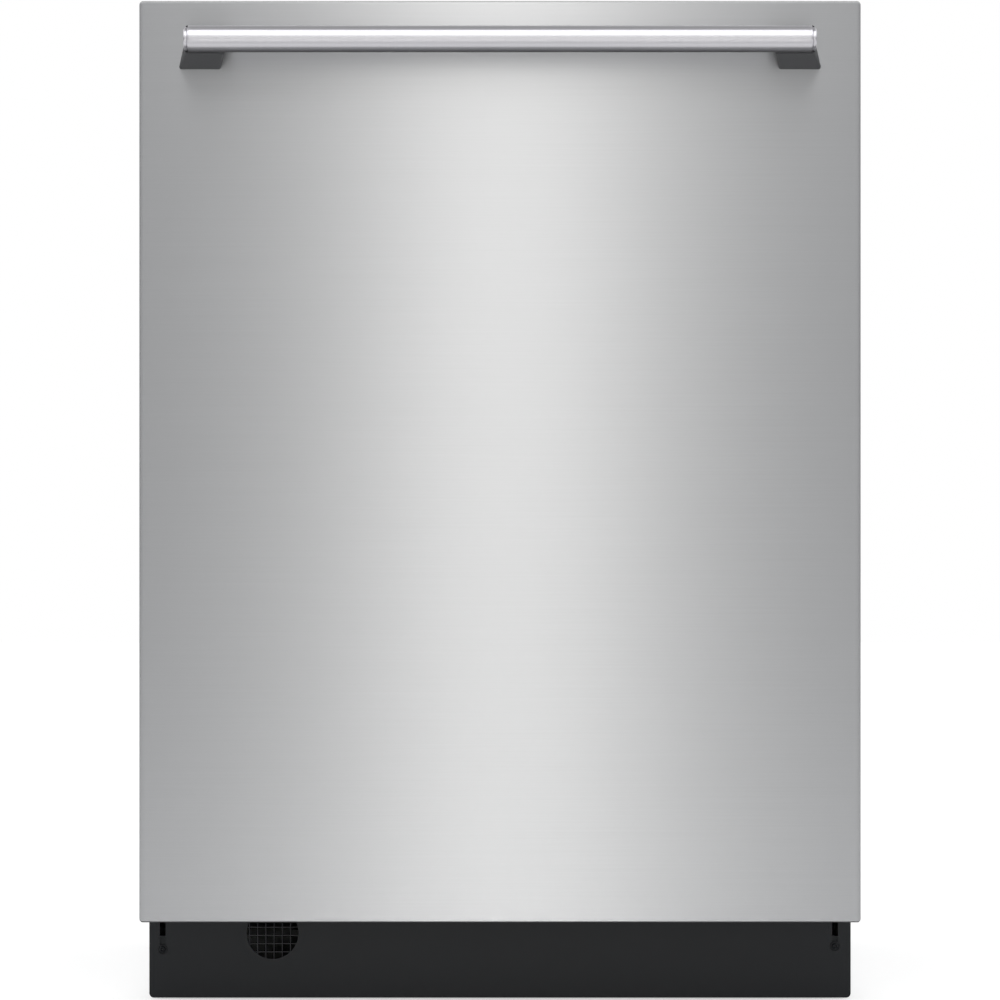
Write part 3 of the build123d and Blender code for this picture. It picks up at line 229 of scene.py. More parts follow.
def wire(corners, radius, normal, bend=10.0, loop=False, sides=8):
    """A round wire along a bent line. A loop is closed; an open wire ends in two domes, whose
    circles have the share sin a of the radius, at r (1 - cos a) from the tip."""
    if loop:
        corners = [*corners, corners[0], corners[1]]
        path = bent(corners, bend)[1:-1]
        return swept(path, oval(radius, radius, 1, sides), normal, loop=True)
    path = bent(corners, bend) if len(corners) > 2 else np.asarray(corners, float)
    angle = np.array([0.15, 0.5, 1.0]) * pi / 2
    depth = radius * (1 - np.cos(angle))[:, None]
    head = path[0] + depth * unit(path[1] - path[0])
    tail = path[-1] + depth[::-1] * unit(path[-2] - path[-1])
    share = np.concatenate([np.sin(angle), np.ones(len(path) - 2), np.sin(angle)[::-1]])
    path = np.vstack([head, path[1:-1], tail])
    return swept(path, oval(radius, radius, 1, sides), normal, share=share)


def bars(low, high):
    """Square bars between arrays of low and high corners: eight corners and six faces each."""
    low, high = np.broadcast_arrays(np.asarray(low, float), np.asarray(high, float))
    pick = np.array([[x, y, z] for z in (0, 1) for y in (0, 1) for x in (0, 1)])
    points = np.where(pick[None] == 1, high[:, None], low[:, None]).reshape(-1, 3)
    sides = [(0, 2, 3, 1), (4, 5, 7, 6), (0, 1, 5, 4), (2, 6, 7, 3), (0, 4, 6, 2), (1, 3, 7, 5)]
    return points, [(np.array(sides)[None] + 8 * np.arange(len(low))[:, None, None]).reshape(-1, 4)]


def bar_row(x, y, z, size):
    """Equal square bars whose low corners share two of x, y and z and step along the third."""
    corner = np.stack(np.broadcast_arrays(x, y, z), -1)
    return bars(corner, corner + size)


def turned_about_x(part, angle, centre):
    """A shell turned about a line along X through (y, z), by the rotation's two formulas."""
    points, faces = part
    y, z = points[:, 1] - centre[0], points[:, 2] - centre[1]
    turned_y = y * np.cos(angle) - z * np.sin(angle) + centre[0]
    turned_z = y * np.sin(angle) + z * np.cos(angle) + centre[1]
    return np.stack([points[:, 0], turned_y, turned_z], -1), faces


def piece(name, shells, slot, stands_for=(), body=None, sharp=38.0):
    """Puts shells into one mesh, gives it its finish, and lets it stand for its CAD nodes and
    ride on their body."""
    starts = np.cumsum([0] + [len(points) for points, _ in shells])
    polygons = [face + start for (_, faces), start in zip(shells, starts) for face in faces]
    corners = np.concatenate([polygon.ravel() for polygon in polygons])
    sizes = np.concatenate([np.full(len(polygon), polygon.shape[1]) for polygon in polygons])
    points = np.concatenate([points for points, _ in shells]) * MM
    mesh = bpy.data.meshes.new(name)
    mesh.vertices.add(len(points))
    mesh.vertices.foreach_set("co", points.ravel())
    mesh.loops.add(len(corners))
    mesh.loops.foreach_set("vertex_index", corners)
    mesh.polygons.add(len(sizes))
    mesh.polygons.foreach_set("loop_start", np.cumsum(sizes) - sizes)
    mesh.update(calc_edges=True)
    if mesh.validate():
        raise ValueError(f"{name} has faces that aren't sound")
    mesh.shade_smooth()
    mesh.set_sharp_from_angle(angle=radians(sharp))
    mesh.materials.append(finish(slot))
    made = bpy.data.objects.new(name, mesh)
    bpy.context.scene.collection.objects.link(made)
    if stands_for:
        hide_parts(*stands_for)
    if body is not None:
        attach(made, body)
    return made


# ------------------------------------------------------------------ finishes
def linear(code):
    """An sRGB hex colour as linear red, green, blue and a full alpha."""
    level = np.array([int(code[i : i + 2], 16) for i in (0, 2, 4)]) / 255
    return (*np.where(level <= 0.04045, level / 12.92, ((level + 0.055) / 1.055) ** 2.4), 1.0)


def add(tree, kind, settings=None, links=None):
    """Adds one node. A setting is the value of the socket with that name or number, or else of
    the node itself; a link joins a socket to an output, or to the first output of a node."""
    made = tree.nodes.new("ShaderNode" + kind)
    for key, value in (settings or {}).items():
        if isinstance(key, int) or key in made.inputs:
            made.inputs[key].default_value = value
        else:
            setattr(made, key, value)
    for key, source in (links or {}).items():
        output = source.outputs[0] if isinstance(source, bpy.types.Node) else source
        tree.links.new(output, made.inputs[key])
    return made


SOFT = {"interpolation_type": "SMOOTHSTEP"}  # makes a map range ease in and out


def surface(name, sockets):
    """A material with one shader whose constant values stand on its own sockets."""
    made = bpy.data.materials.new(name)
    made.use_nodes = True
    tree = made.node_tree
    tree.nodes.clear()
    shader = add(tree, "BsdfPrincipled", sockets)
    add(tree, "OutputMaterial", {}, {"Surface": shader})
    return made, tree, shader


def grain(tree, size, detail=2.0):
    """Soft noise on Object coordinates, in patches of a size in millimetres: one for all axes or
    one for each."""
    place = add(tree, "TexCoord")
    scale = (1 / (np.broadcast_to(size, 3) * MM)).tolist()
    scaled = add(tree, "Mapping", {"Scale": scale}, {0: place.outputs["Object"]})
    noise = {"Scale": 1.0, "Detail": detail, "Roughness": 0.55}
    return add(tree, "TexNoise", noise, {"Vector": scaled})


def worked(tree, shader, pattern, colours, roughness, bump):
    """Lets a pattern move the colour between two colours and the roughness between two values,
    and raises it by that bump in millimetres."""
    blend = {"data_type": "RGBA", 6: colours[0], 7: colours[1]}
    blended = add(tree, "Mix", blend, {0: pattern})
    tree.links.new(blended.outputs[2], shader.inputs["Base Color"])
    spread = {"To Min": roughness[0], "To Max": roughness[1]}
    rough = add(tree, "MapRange", spread, {0: pattern})
    tree.links.new(rough.outputs[0], shader.inputs["Roughness"])
    if bump:
        relief = add(tree, "Bump", {"Distance": bump * MM}, {"Height": pattern})
        tree.links.new(relief.outputs[0], shader.inputs["Normal"])


def grained(name, sockets, size, colours, roughness, bump, detail=2.0):
    """A material whose soft grain moves its colour, roughness and height together."""
    made, tree, shader = surface(name, sockets)
    worked(tree, shader, grain(tree, size, detail), colours, roughness, bump)
    return made


def brushed(made, axis):
    """Lays a metal's stretched highlights round an axis."""
    tree = made.node_tree
    tangent = add(tree, "Tangent", {"direction_type": "RADIAL", "axis": axis})
    tree.links.new(tangent.outputs[0], tree.nodes["Principled BSDF"].inputs["Tangent"])


def darkened(made, levels, share):
    """Paints shade into the colour: lowers it to that share where a point lies below the first of two
    levels, in millimetres, on each Object axis named, and lets it return to full at the second."""
    tree = made.node_tree
    base = tree.nodes["Principled BSDF"].inputs["Base Color"]
    place = add(tree, "TexCoord")
    axes = add(tree, "SeparateXYZ", {}, {0: place.outputs["Object"]})
    fades = []
    for axis, (below, above) in levels.items():
        ramp = {"From Min": below * MM, "From Max": above * MM, "To Min": share}
        fades.append(add(tree, "MapRange", ramp, {0: axes.outputs[axis]}))
    highest = fades[0]
    for fade in fades[1:]:
        highest = add(tree, "Math", {"operation": "MAXIMUM"}, {0: highest, 1: fade})
    links = {0: base.links[0].from_socket, "Scale": highest}
    lowered = add(tree, "VectorMath", {"operation": "SCALE"}, links)
    tree.links.new(lowered.outputs[0], base)


def tones(base, *factors):
    """A linear colour made darker or lighter by each factor."""
    return [(*[min(1.0, channel * factor) for channel in base[:3]], 1.0) for factor in factors]


def stainless_brushed_across(look):
    # Ferritic stainless sheet, brushed from side to side: each lamp becomes a tall soft band that
    # is narrow along the brushing, over fine level lines. Real lines are about 0.1 mm apart and
    # are drawn ten times as coarse so that they show.
    sockets = {"Metallic": 1.0, "Anisotropic": look.door_stretch, "Anisotropic Rotation": 0.25}
    lines, colours = (150, 150, 1.0), tones(look.door_steel, 0.96, 1.04)
    rough = (look.door_roughness - 0.005, look.door_roughness + 0.02)
    made = grained("stainless_brushed_across", sockets, lines, colours, rough, 0.0012, detail=3.0)
    brushed(made, "Z")
    return made


def stainless_tube_satin(look):
    # Stainless tube, polished round and round: a bright line along its length, softened
    # lengthwise, and faint rings about 0.7 mm apart. Its underside carries painted shade.
    sockets = {"Metallic": 1.0, "Anisotropic": 0.7, "Anisotropic Rotation": 0.25}
    rings, colours = (0.7, 60, 60), tones(look.handle_steel, 0.97, 1.03)
    made = grained("stainless_tube_satin", sockets, rings, colours, (0.34, 0.36), 0.0003)
    low, _, _, radius = round_along_x("handle_bar")
    # painted shade: the colour falls to 0.13 along the tube's lowest part, for the dark beneath it
    darkened(made, {"Z": (low[2] + 0.03 * radius, low[2] + 0.22 * radius)}, 0.13)
    brushed(made, "X")
    return made


def zinc_casting_satin(look):
    # Zinc die casting under satin dark grey paint: even, slightly pebbled, with soft edges of light.
    colours = tones(look.casting_grey, 0.92, 1.08)
    return grained("zinc_casting_satin", {"Metallic": 0.35}, 1.2, colours, (0.42, 0.52), 0.02)


def steel_painted_black(look):
    # Steel sheet in satin black enamel: nearly black, with a broad dull sheen and a fine orange
    # peel of about 1.5 mm.
    colours = tones(look.kick_black, 0.9, 1.1)
    sockets = {"Specular IOR Level": 0.28}
    return grained("steel_painted_black", sockets, 1.5, colours, (0.36, 0.42), 0.004)


def abs_moulded_black(look):
    # ABS moulded against a lightly etched tool: black with a quiet sheen broken by 0.8 mm grain.
    colours = tones(look.moulded_black, 0.85, 1.15)
    return grained("abs_moulded_black", {"IOR": 1.54}, 0.8, colours, (0.38, 0.48), 0.012)


def abs_keycap_grey(look):
    # ABS keys, moulded smooth: mid grey and slightly glossier than the plate around them.
    colours = (linear("6b6e71"), linear("74777a"))
    return grained("abs_keycap_grey", {"IOR": 1.54}, 2, colours, (0.29, 0.34), 0.004)


def stainless_bright_annealed(look):
    # Bright annealed stainless sheet, drawn and pressed: blurred mirror with a slow waviness from
    # the press, patches about 60 mm wide.
    colours, rough = tones(look.tub_steel, 0.95, 1.05), (0.29, 0.34)
    return grained("stainless_bright_annealed", {"Metallic": 1.0}, 60, colours, rough, 0.15, detail=1.0)


def steel_galvanised(look):
    # Hot-dip galvanised steel, folded: pale grey with crystal patches about 9 mm across, each with
    # its own dullness. Its front edge, behind the kick plate, carries painted shade: near black, for
    # the dark seen through the plate's slot.
    made, tree, shader = surface("steel_galvanised", {"Metallic": 1.0})
    place = add(tree, "TexCoord")
    cells = {"feature": "F1", "Scale": 1 / (9 * MM), "Randomness": 1.0}
    spangle = add(tree, "TexVoronoi", cells, {"Vector": place.outputs["Object"]})
    patch = add(tree, "SeparateColor", {}, {0: spangle.outputs["Color"]})
    colours = (linear("9ea3a7"), linear("c3c7c9"))
    worked(tree, shader, patch, colours, (0.34, 0.52), 0)
    # painted shade: the frame's forward end behind the kick plate falls to 0.05 of its colour
    low, high = span("kick_plate")
    darkened(made, {"Y": (low[1] + 6, low[1] + 7), "Z": (high[2], high[2] + 1)}, 0.05)
    return made


def nylon_coated_wire(look):
    # Steel wire dipped in nylon powder: smooth, thick and slightly waxy grey, with dips 4 mm long.
    colours, sockets = tones(look.rack_grey, 0.93, 1.07), {"IOR": 1.53, "Coat Weight": 0.15}
    return grained("nylon_coated_wire", sockets, 4, colours, (0.30, 0.40), 0.05)


def polypropylene_grey(look):
    # Grey polypropylene, moulded: matt and slightly translucent at its edges, grain of 0.9 mm.
    sockets = {"IOR": 1.49, "Subsurface Weight": 0.04, "Subsurface Radius": (0.002, 0.002, 0.002)}
    colours = tones(look.moulded_grey, 0.92, 1.08)
    return grained("polypropylene_grey", sockets, 0.9, colours, (0.42, 0.52), 0.012)


def polypropylene_natural(look):
    # Unpainted pale polypropylene: milky, soft and lit from a little below its surface.
    sockets = {"IOR": 1.49, "Subsurface Weight": 0.12, "Subsurface Radius": (0.004, 0.004, 0.003)}
    colours = (linear("d3d4d1"), linear("dfe0dc"))
    return grained("polypropylene_natural", sockets, 3, colours, (0.38, 0.46), 0.01)


def epdm_rubber(look):
    # Extruded EPDM rubber: dull near black with a faint bloom that greys it in 6 mm clouds.
    colours, sockets = (linear("26272a"), linear("303135")), {"IOR": 1.52, "Sheen Weight": 0.08}
    return grained("epdm_rubber", sockets, 6, colours, (0.55, 0.68), 0.03)


def felt_needled_charcoal(look):
    # Needled felt of reclaimed fibres: charcoal with pale and dark flecks about 3 mm long, and a
    # dusty sheen at grazing angles. Real fibres are finer; they are drawn coarser to show.
    sockets = {"Sheen Weight": 0.25, "Sheen Roughness": 0.6, "Specular IOR Level": 0.15}
    made, tree, shader = surface("felt_needled_charcoal", sockets)
    flecks = grain(tree, (3.2, 3.2, 2.2), detail=6.0)
    sharper = {"From Min": 0.36, "From Max": 0.66}
    contrast = add(tree, "MapRange", sharper, {0: flecks})
    worked(tree, shader, contrast, tones(look.felt, 0.55, 1.6), (0.9, 1.0), 0.5)
    return made


def aluminium_cast_painted(look):
    # Cast pump housing under thin grey paint: sandy relief of about 1.8 mm.
    colours = (linear("54575a"), linear("6a6d70"))
    return grained("aluminium_cast_painted", {"Metallic": 0.5}, 1.8, colours, (0.45, 0.60), 0.06)


def screw_zinc_plated(look):
    # Zinc-plated steel screw stock: bright, a little yellow-blue, with drawn lines.
    lines, colours = (1.0, 4.0, 4.0), (linear("a9acad"), linear("bdbfbd"))
    return grained("screw_zinc_plated", {"Metallic": 1.0}, lines, colours, (0.29, 0.37), 0.003)


def board_solder_mask(look):
    # Glass-epoxy circuit board under green solder mask: glossy, with 2.5 mm tracks faintly raised.
    colours, sockets = (linear("1f5a36"), linear("2f7449")), {"IOR": 1.55, "Coat Weight": 0.4}
    return grained("board_solder_mask", sockets, 2.5, colours, (0.29, 0.36), 0.03)


def nickel_alloy_sheath(look):
    # Nickel alloy heater sheath, tempered by heat: grey-brown, dull, clouded every 12 mm.
    colours = (linear("6d6862"), linear("8d8a86"))
    return grained("nickel_alloy_sheath", {"Metallic": 1.0}, 12, colours, (0.38, 0.5), 0.01)


FINISH_OF_SLOT = {
    "door_steel": stainless_brushed_across,
    "handle_steel": stainless_tube_satin,
    "bracket_metal": zinc_casting_satin,
    "kick_black": steel_painted_black,
    "black_plastic": abs_moulded_black,
    "button_grey": abs_keycap_grey,
    "tub_steel": stainless_bright_annealed,
    "frame_steel": steel_galvanised,
    "rack_coating": nylon_coated_wire,
    "grey_plastic": polypropylene_grey,
    "light_plastic": polypropylene_natural,
    "seal_rubber": epdm_rubber,
    "blanket": felt_needled_charcoal,
    "pump_metal": aluminium_cast_painted,
    "screw_steel": screw_zinc_plated,
    "board_green": board_solder_mask,
    "heater_metal": nickel_alloy_sheath,
}


def finish(slot):
    """The finish of a material slot, made the first time it is asked for."""
    maker = FINISH_OF_SLOT[slot]
    look = bpy.context.scene.dishwasher_finish
    return bpy.data.materials.get(maker.__name__) or maker(look)


# ------------------------------------------------------------------ settings
def length(name, description, millimetres, low=0.0, high=1000.0):
    """Arguments of a length property, shown in the scene's unit and given in millimetres."""
    words = {"name": name, "description": description, "default": millimetres * MM}
    return words | {"min": low * MM, "max": high * MM, "unit": "LENGTH"}


def amount(name, description, default, low=0.0, high=1.0):
    """Arguments of a property that is a plain number."""
    return {"name": name, "description": description, "default": default, "min": low, "max": high}


def power(name, description, watts):
    """Arguments of a lamp's power."""
    return amount(name, description, watts, high=500) | {"unit": "POWER"}


def colour(name, description, code):
    """Arguments of a colour property whose default is an sRGB hex colour."""
    words = {"name": name, "description": description, "default": linear(code)}
    return words | {"subtype": "COLOR", "size": 4, "min": 0.0, "max": 1.0}


class DishwasherFinish(bpy.types.PropertyGroup):
    """Colours and gloss of the visible materials."""

    door_steel: FloatVectorProperty(**colour("Door steel", "Brushed sheet of the door", "a9aaac"))
    door_roughness: FloatProperty(**amount("Door roughness", "Blur of the brushed sheet", 0.29, 0.1, 0.8))
    door_stretch: FloatProperty(**amount("Door stretch", "How far highlights stretch upright", 0.8))
    handle_steel: FloatVectorProperty(**colour("Handle steel", "Tube of the handle", "dddce1"))
    casting_grey: FloatVectorProperty(**colour("Casting grey", "Handle brackets", "4c4d4f"))
    kick_black: FloatVectorProperty(**colour("Kick black", "Painted kick plate", "0f1318"))
    moulded_black: FloatVectorProperty(**colour("Moulded black", "Control plate and base", "202123"))
    moulded_grey: FloatVectorProperty(**colour("Moulded grey", "Spray arms and baskets", "8b8f93"))
    tub_steel: FloatVectorProperty(**colour("Tub steel", "Tub and inner door", "d2d2d0"))
    rack_grey: FloatVectorProperty(**colour("Rack grey", "Coated wire of the racks", "8e949a"))
    felt: FloatVectorProperty(**colour("Felt", "Insulation blanket", "3d3e40"))


class DishwasherDoor(bpy.types.PropertyGroup):
    """Sizes of the door's sheet and handle."""

    fold: FloatProperty(**length("Fold", "Outer radius of the sheet's folded edge", 1.3, 0.5, 6))
    sheet: FloatProperty(**length("Sheet", "Thickness of the door's sheet", 1.2, 0.4, 3))
    corner: FloatProperty(**length("Corner", "Radius of the door's corners", 3.0, 0, 30))
    top_return: FloatProperty(**length("Top return", "Depth of the fold along the top", 7.0, 2, 22))
    cap_groove: FloatProperty(**length("Cap groove", "Gap between tube and end cap", 0.5, 0, 3))


class DishwasherWire(bpy.types.PropertyGroup):
    """Sizes of the racks' coated wire."""

    radius: FloatProperty(**length("Wire radius", "Radius of the coated wire", 2.0, 0.8, 4))
    bend: FloatProperty(**length("Bend", "Reach of a bend in a basket's wire", 13.0, 3, 40))
    lengthwise: IntProperty(**amount("Lengthwise wires", "Wires from front to back", 12, 4, 24))
    crosswise: IntProperty(**amount("Crosswise wires", "Wires from side to side", 8, 4, 20))


class DishwasherFelt(bpy.types.PropertyGroup):
    """Sizes of the insulation blanket."""

    channel: FloatProperty(**length("Channel", "Distance between sewn lines", 132.0, 40, 400))
    pinch: FloatProperty(**length("Pinch", "How far a sewn line pulls the felt in", 5.5, 0, 12))
    ripple: FloatProperty(**length("Ripple", "Height of the loose waves between lines", 0.9, 0, 4))


class DishwasherStage(bpy.types.PropertyGroup):
    """Light, floor and camera."""

    level: FloatProperty(**amount("Room level", "Strength of the even light", 0.68, high=2))
    front_level: FloatProperty(**amount("Front level", "What metal mirrors in front", 0.59, high=2))
    overhead_level: FloatProperty(**amount("Overhead level", "What it mirrors above that", 0.47, high=9))
    side_level: FloatProperty(**amount("Side level", "What it mirrors low at its sides", 0.08))
    high_side_level: FloatProperty(**amount("High side level", "What it mirrors above that", 1.2, high=9))
    behind_level: FloatProperty(**amount("Behind level", "What it mirrors above and behind it", 0.33))
    floor_lift: FloatProperty(**amount("Floor lift", "Light added to what is seen of the floor", 0.52))
    floor_glow: FloatProperty(**amount("Floor glow", "Light added to the floor that metal mirrors", 0.05))
    floor_sheen: FloatProperty(**amount("Floor sheen", "Sheen of the floor that metal mirrors", 0.78))
    strip_power: FloatProperty(**power("Strip power", "Tall lamp behind the camera", 13.7))
    panel_power: FloatProperty(**power("Panel power", "Broad lamp over the front", 28.0))
    camera_away: FloatProperty(**length("Camera distance", "From the door's face", 3600.0, 500, 9000))
    camera_height: FloatProperty(**length("Camera height", "Above the floor", 428.88, 0, 3000))
    lens: FloatProperty(**amount("Lens", "Focal length in millimetres", 154.3, 10, 400))


# ------------------------------------------------------------------ operators
class DISHWASHER_OT_cad_finishes(bpy.types.Operator):
    """Gives every CAD node the finish of its material slot"""

    bl_idname = "dishwasher.cad_finishes"
    bl_label = "CAD finishes"

    def execute(self, context):
        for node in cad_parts.values():
            for place in node.material_slots:
                if place.material and place.material.name in FINISH_OF_SLOT:
                    place.material = finish(place.material.name)
        return {"FINISHED"}


class DISHWASHER_OT_door_skin(bpy.types.Operator):
    """Folds the door's outer sheet: a flat face, a round edge and a return on all four sides"""

    bl_idname = "dishwasher.door_skin"
    bl_label = "Door skin"

    def execute(self, context):
        door = context.scene.dishwasher_door
        sizes = (door.fold, door.sheet, door.corner, door.top_return)
        fold, sheet, corner, shallow = (size / MM for size in sizes)
        low, high = span("door_outer_panel")
        crease = 0.25
        angle = np.linspace(0, pi / 2, 9)
        # outside: flat face, fold, return; then the same line back on the inside of the sheet. The
        # four rings between them lie at the rim, whose depth differs round the door.
        first_at_rim, at_rim = 1 + len(angle), [np.nan, np.nan]
        inset = np.concatenate([[fold + 2], fold * (1 - np.sin(angle)), [0.0, crease]])
        depth = np.concatenate([[0], fold * (1 - np.cos(angle)), at_rim])
        inside, angle = fold - sheet, angle[::-1]
        inset = np.concatenate([inset, [sheet - crease, sheet], sheet + inside * (1 - np.sin(angle))])
        depth = np.concatenate([depth, at_rim, sheet + inside * (1 - np.cos(angle))])
        rings = rounded(high[0] - low[0], high[2] - low[2], corner, inset, steps=6)
        height = rings[:, :, 1] + (low[2] + high[2]) / 2
        # the return is as deep as the panel, and becomes shallow over the door's top 4 mm
        full = high[1] - low[1]
        share = np.clip((height - (high[2] - 4)) / 3, 0, 1)
        rim = full - (full - shallow) * share
        rim[[first_at_rim + 1, first_at_rim + 3]] -= crease
        levels = low[1] + np.where(np.isnan(depth)[:, None], rim, np.nan_to_num(depth)[:, None])
        rings[..., 1] = height
        piece("door_skin", [raised(rings, levels, "y")], "door_steel", ["door_outer_panel"], "door")
        return {"FINISHED"}


class DISHWASHER_OT_handle(bpy.types.Operator):
    """Turns the handle's tube and its two end caps, with a fine groove between them"""

    bl_idname = "dishwasher.handle"
    bl_label = "Handle"

    def execute(self, context):
        groove = context.scene.dishwasher_door.cap_groove / MM
        _, high, centre, radius = round_along_x("handle_bar")
        _, cap_high, _, cap_radius = round_along_x("handle_end_caps")
        half, cap_end, dome, ease = high[0], cap_high[0], 1.4, 0.25
        end = np.array([(half - 0.5, radius), (half - 0.15, radius - 0.12), (half, radius - 0.5)])
        stub = np.array([(half, cap_radius - 1.8)])
        right = np.vstack([[(half - 3, radius)], end, stub])
        tube = np.vstack([right[::-1] * (-1, 1), np.array([(0, radius)]), right])
        angle = np.linspace(0, pi / 2, 6)
        inwards, down = dome * (1 - np.sin(angle)), dome * (1 - np.cos(angle))
        domed = np.stack([cap_end - inwards, cap_radius - down], -1)
        start, waist = half + groove, cap_radius - dome
        neck = [(half - 2, waist), (start, waist), (start, cap_radius - ease), (start + ease, cap_radius)]
        cap = np.vstack([neck, domed, [(cap_end + 0.05, cap_radius - 5)]])
        caps = [turned_on(side, cap, centre, 72) for side in (-1, 1)]
        piece("handle_tube", [turned(tube, "x", centre, 96)], "handle_steel", ["handle_bar"], "door")
        piece("handle_caps", caps, "handle_steel", ["handle_end_caps"], "door")
        return {"FINISHED"}


class DISHWASHER_OT_blanket(bpy.types.Operator):
    """Wraps the tub in a felt blanket with sewn channels, in one piece over the sides and the top
    and a second one behind"""

    bl_idname = "dishwasher.blanket"
    bl_label = "Insulation blanket"

    def quilt(self, along, across, thickness):
        """Height of the felt's outer face: full between the sewn lines, and pinched on them by
        the power |sin(pi s / channel)|^0.3 in both directions, with three slow waves on top."""
        felt = bpy.context.scene.dishwasher_felt
        channel, pinch, ripple = (v / MM for v in (felt.channel, felt.pinch, felt.ripple))
        puff = np.abs(np.sin(pi * along / channel) * np.sin(pi * across / channel)) ** 0.3
        waves = np.sin(along / 17 + across / 41) + np.sin(across / 13 - along / 53)
        waves = waves + np.sin(along / 29 + 1)
        return thickness - pinch * (1 - puff) - ripple * (1 + waves / 3) * (0.4 + 0.6 * puff)

    def outer_distance(self, path, thickness, normal):
        """Distance along a pad's outer face, which runs beside the path at its thickness."""
        outer = path + thickness * np.cross(unit(np.gradient(path, axis=0)), normal)
        steps = np.linalg.norm(np.diff(outer, axis=0), axis=1)
        return np.concatenate([[0], np.cumsum(steps)])[:, None]

    def pad(self, path, half_widths, thickness, normal, line):
        """A closed felt strip along a path: an outer face whose height is the quilt's, rounded
        down to a thin hem at its edges and ends, and a flat inner face. Two sewn lines cross at
        the distances that line gives along and across the strip."""
        hem, rounding, count = 1.5, 9, 76
        along = self.outer_distance(path, thickness, normal)
        # columns lie closer together towards the edges, where the felt turns down
        share = np.sin(np.linspace(-pi / 2, pi / 2, count)) * 0.25 + np.linspace(-0.75, 0.75, count)
        across = half_widths[:, None] * share[None]
        edge = np.clip((half_widths[:, None] - np.abs(across)) / rounding, 0, 1)
        ends = np.clip(np.minimum(along, along[-1] - along) / rounding, 0, 1)
        crown = np.sqrt(1 - (1 - edge) ** 2) * np.sqrt(1 - (1 - ends) ** 2)
        height = hem + (self.quilt(along - line[0], across - line[1], thickness) - hem) * crown
        back = half_widths[:, None] * np.linspace(1, -1, 9)[None]
        faces = [np.stack([height, across], -1), np.stack([np.zeros_like(back), back], -1)]
        return swept(path, np.concatenate(faces, axis=1), normal)

    def execute(self, context):
        channel = context.scene.dishwasher_felt.channel / MM
        low, high = span("insulation_blanket")
        back_y = span("tub_back")[1][1] + 0.8
        inner, shoulder, corner, normal = 274.4, 34, 44, (0, 1, 0)
        middle_y = (low[1] + back_y) / 2
        thickness = high[0] - inner
        top = high[2] - thickness
        corners = [(-inner, low[2]), (-inner, top), (inner, top), (inner, low[2])]
        path = spaced(bent([(x, middle_y, z) for x, z in corners], shoulder, 12), 7)
        half = np.full(len(path), (back_y - low[1]) / 2)
        halfway = self.outer_distance(path, thickness, normal)[-1, 0] / 2
        lines_y = (low[1] + high[1]) / 2 - middle_y
        wrap = self.pad(path, half, thickness, normal, (halfway, lines_y))
        # the pad behind narrows by a quarter circle at its two upper corners
        upright = np.linspace(low[2], high[2], 100)
        line = np.stack([upright * 0, upright * 0 + back_y + 0.4, upright], -1)
        above = np.clip(upright - (high[2] - corner), 0, corner - 0.5)
        width = high[0] - 1.2 - (corner - np.sqrt(corner**2 - above**2))
        behind = self.pad(line, width, high[1] - back_y - 0.6, (1, 0, 0), (halfway, channel / 2))
        made = piece("blanket_wrap", [wrap], "blanket", ["insulation_blanket"], "chassis", sharp=70)
        made = piece("blanket_back", [behind], "blanket", [], "chassis", sharp=70)
        return {"FINISHED"}


class DISHWASHER_OT_door_seal(bpy.types.Operator):
    """Runs the bulb seal round the tub's mouth and lays the sill strip between its ends"""

    bl_idname = "dishwasher.door_seal"
    bl_label = "Door seal"

    def execute(self, context):
        low, high = span("door_gasket")
        half, foot_z, sill_top, sill_width = 6, 137.2, 136, 543
        middle, top = high[0] - half, high[2] - half
        corners = [(-middle, foot_z), (-middle, top), (middle, top), (middle, foot_z)]
        path = spaced(bent([(x, high[1], z) for x, z in corners], 36, 10), 9)
        # half round bulb with a shallow valley along its crest, on a flat foot
        side = np.linspace(-1, 1, 19)
        valley = 1 - 0.22 * np.exp(-((side / 0.16) ** 2))
        bulb = (high[1] - low[1]) * (1 - np.abs(side) ** 2.6) ** 0.5 * valley
        crest = np.stack([half * side, -bulb], -1)
        foot = np.stack([half * np.linspace(0.9, -0.9, 7), np.full(7, -0.02)], -1)
        ring = np.vstack([crest, foot])
        centre, size = (0, (low[2] + sill_top) / 2), (sill_width, sill_top - low[2])
        sill = slab("y", centre, size, (low[1], high[1]), 2, 1.2)
        seal = swept(path, ring, (0, 1, 0))
        piece("door_seal", [seal, sill], "seal_rubber", ["door_gasket"], "chassis", sharp=60)
        return {"FINISHED"}


class DISHWASHER_OT_pressings(bpy.types.Operator):
    """Presses stiffening pads into the tub's walls and the inner door"""

    bl_idname = "dishwasher.pressings"
    bl_label = "Pressed pads"

    def execute(self, context):
        wall_x, ceiling, proud, tub_middle = 272.0, 812.0, 1.8, 44
        back_y = span("tub_back")[0][1]
        lower_zs, upper_zs = (205, 262, 319, 376, 516), (640, 697, 754)
        pads = []
        for side in (-1, 1):
            for z in lower_zs:
                pads.append(pressing("x", (tub_middle, z), (420, 30), side * wall_x, -proud * side))
            for z in lower_zs + upper_zs:
                pads.append(pressing("y", (side * 146, z), (190, 30), back_y, -proud))
            pads.append(pressing("z", (side * 155, tub_middle), (150, 420), ceiling, -proud, 18, 7))
        piece("tub_pressings", pads, "tub_steel", [], "chassis")
        liner_y, proud = span("door_gasket")[0][1] - 0.3, 2.0
        door = [pressing("y", (0, z), (430, 22), liner_y, proud) for z in (176, 214, 252, 290)]
        door.append(pressing("y", (0, 690), (450, 150), liner_y, proud, 24, 8))
        piece("liner_pressings", door, "tub_steel", [], "door")
        return {"FINISHED"}


RACK_HALF = 240.0  # from a rack's middle to its outer wires
RAISED_RIM = 6.2  # from a rack's lowest wires to its lowest rim


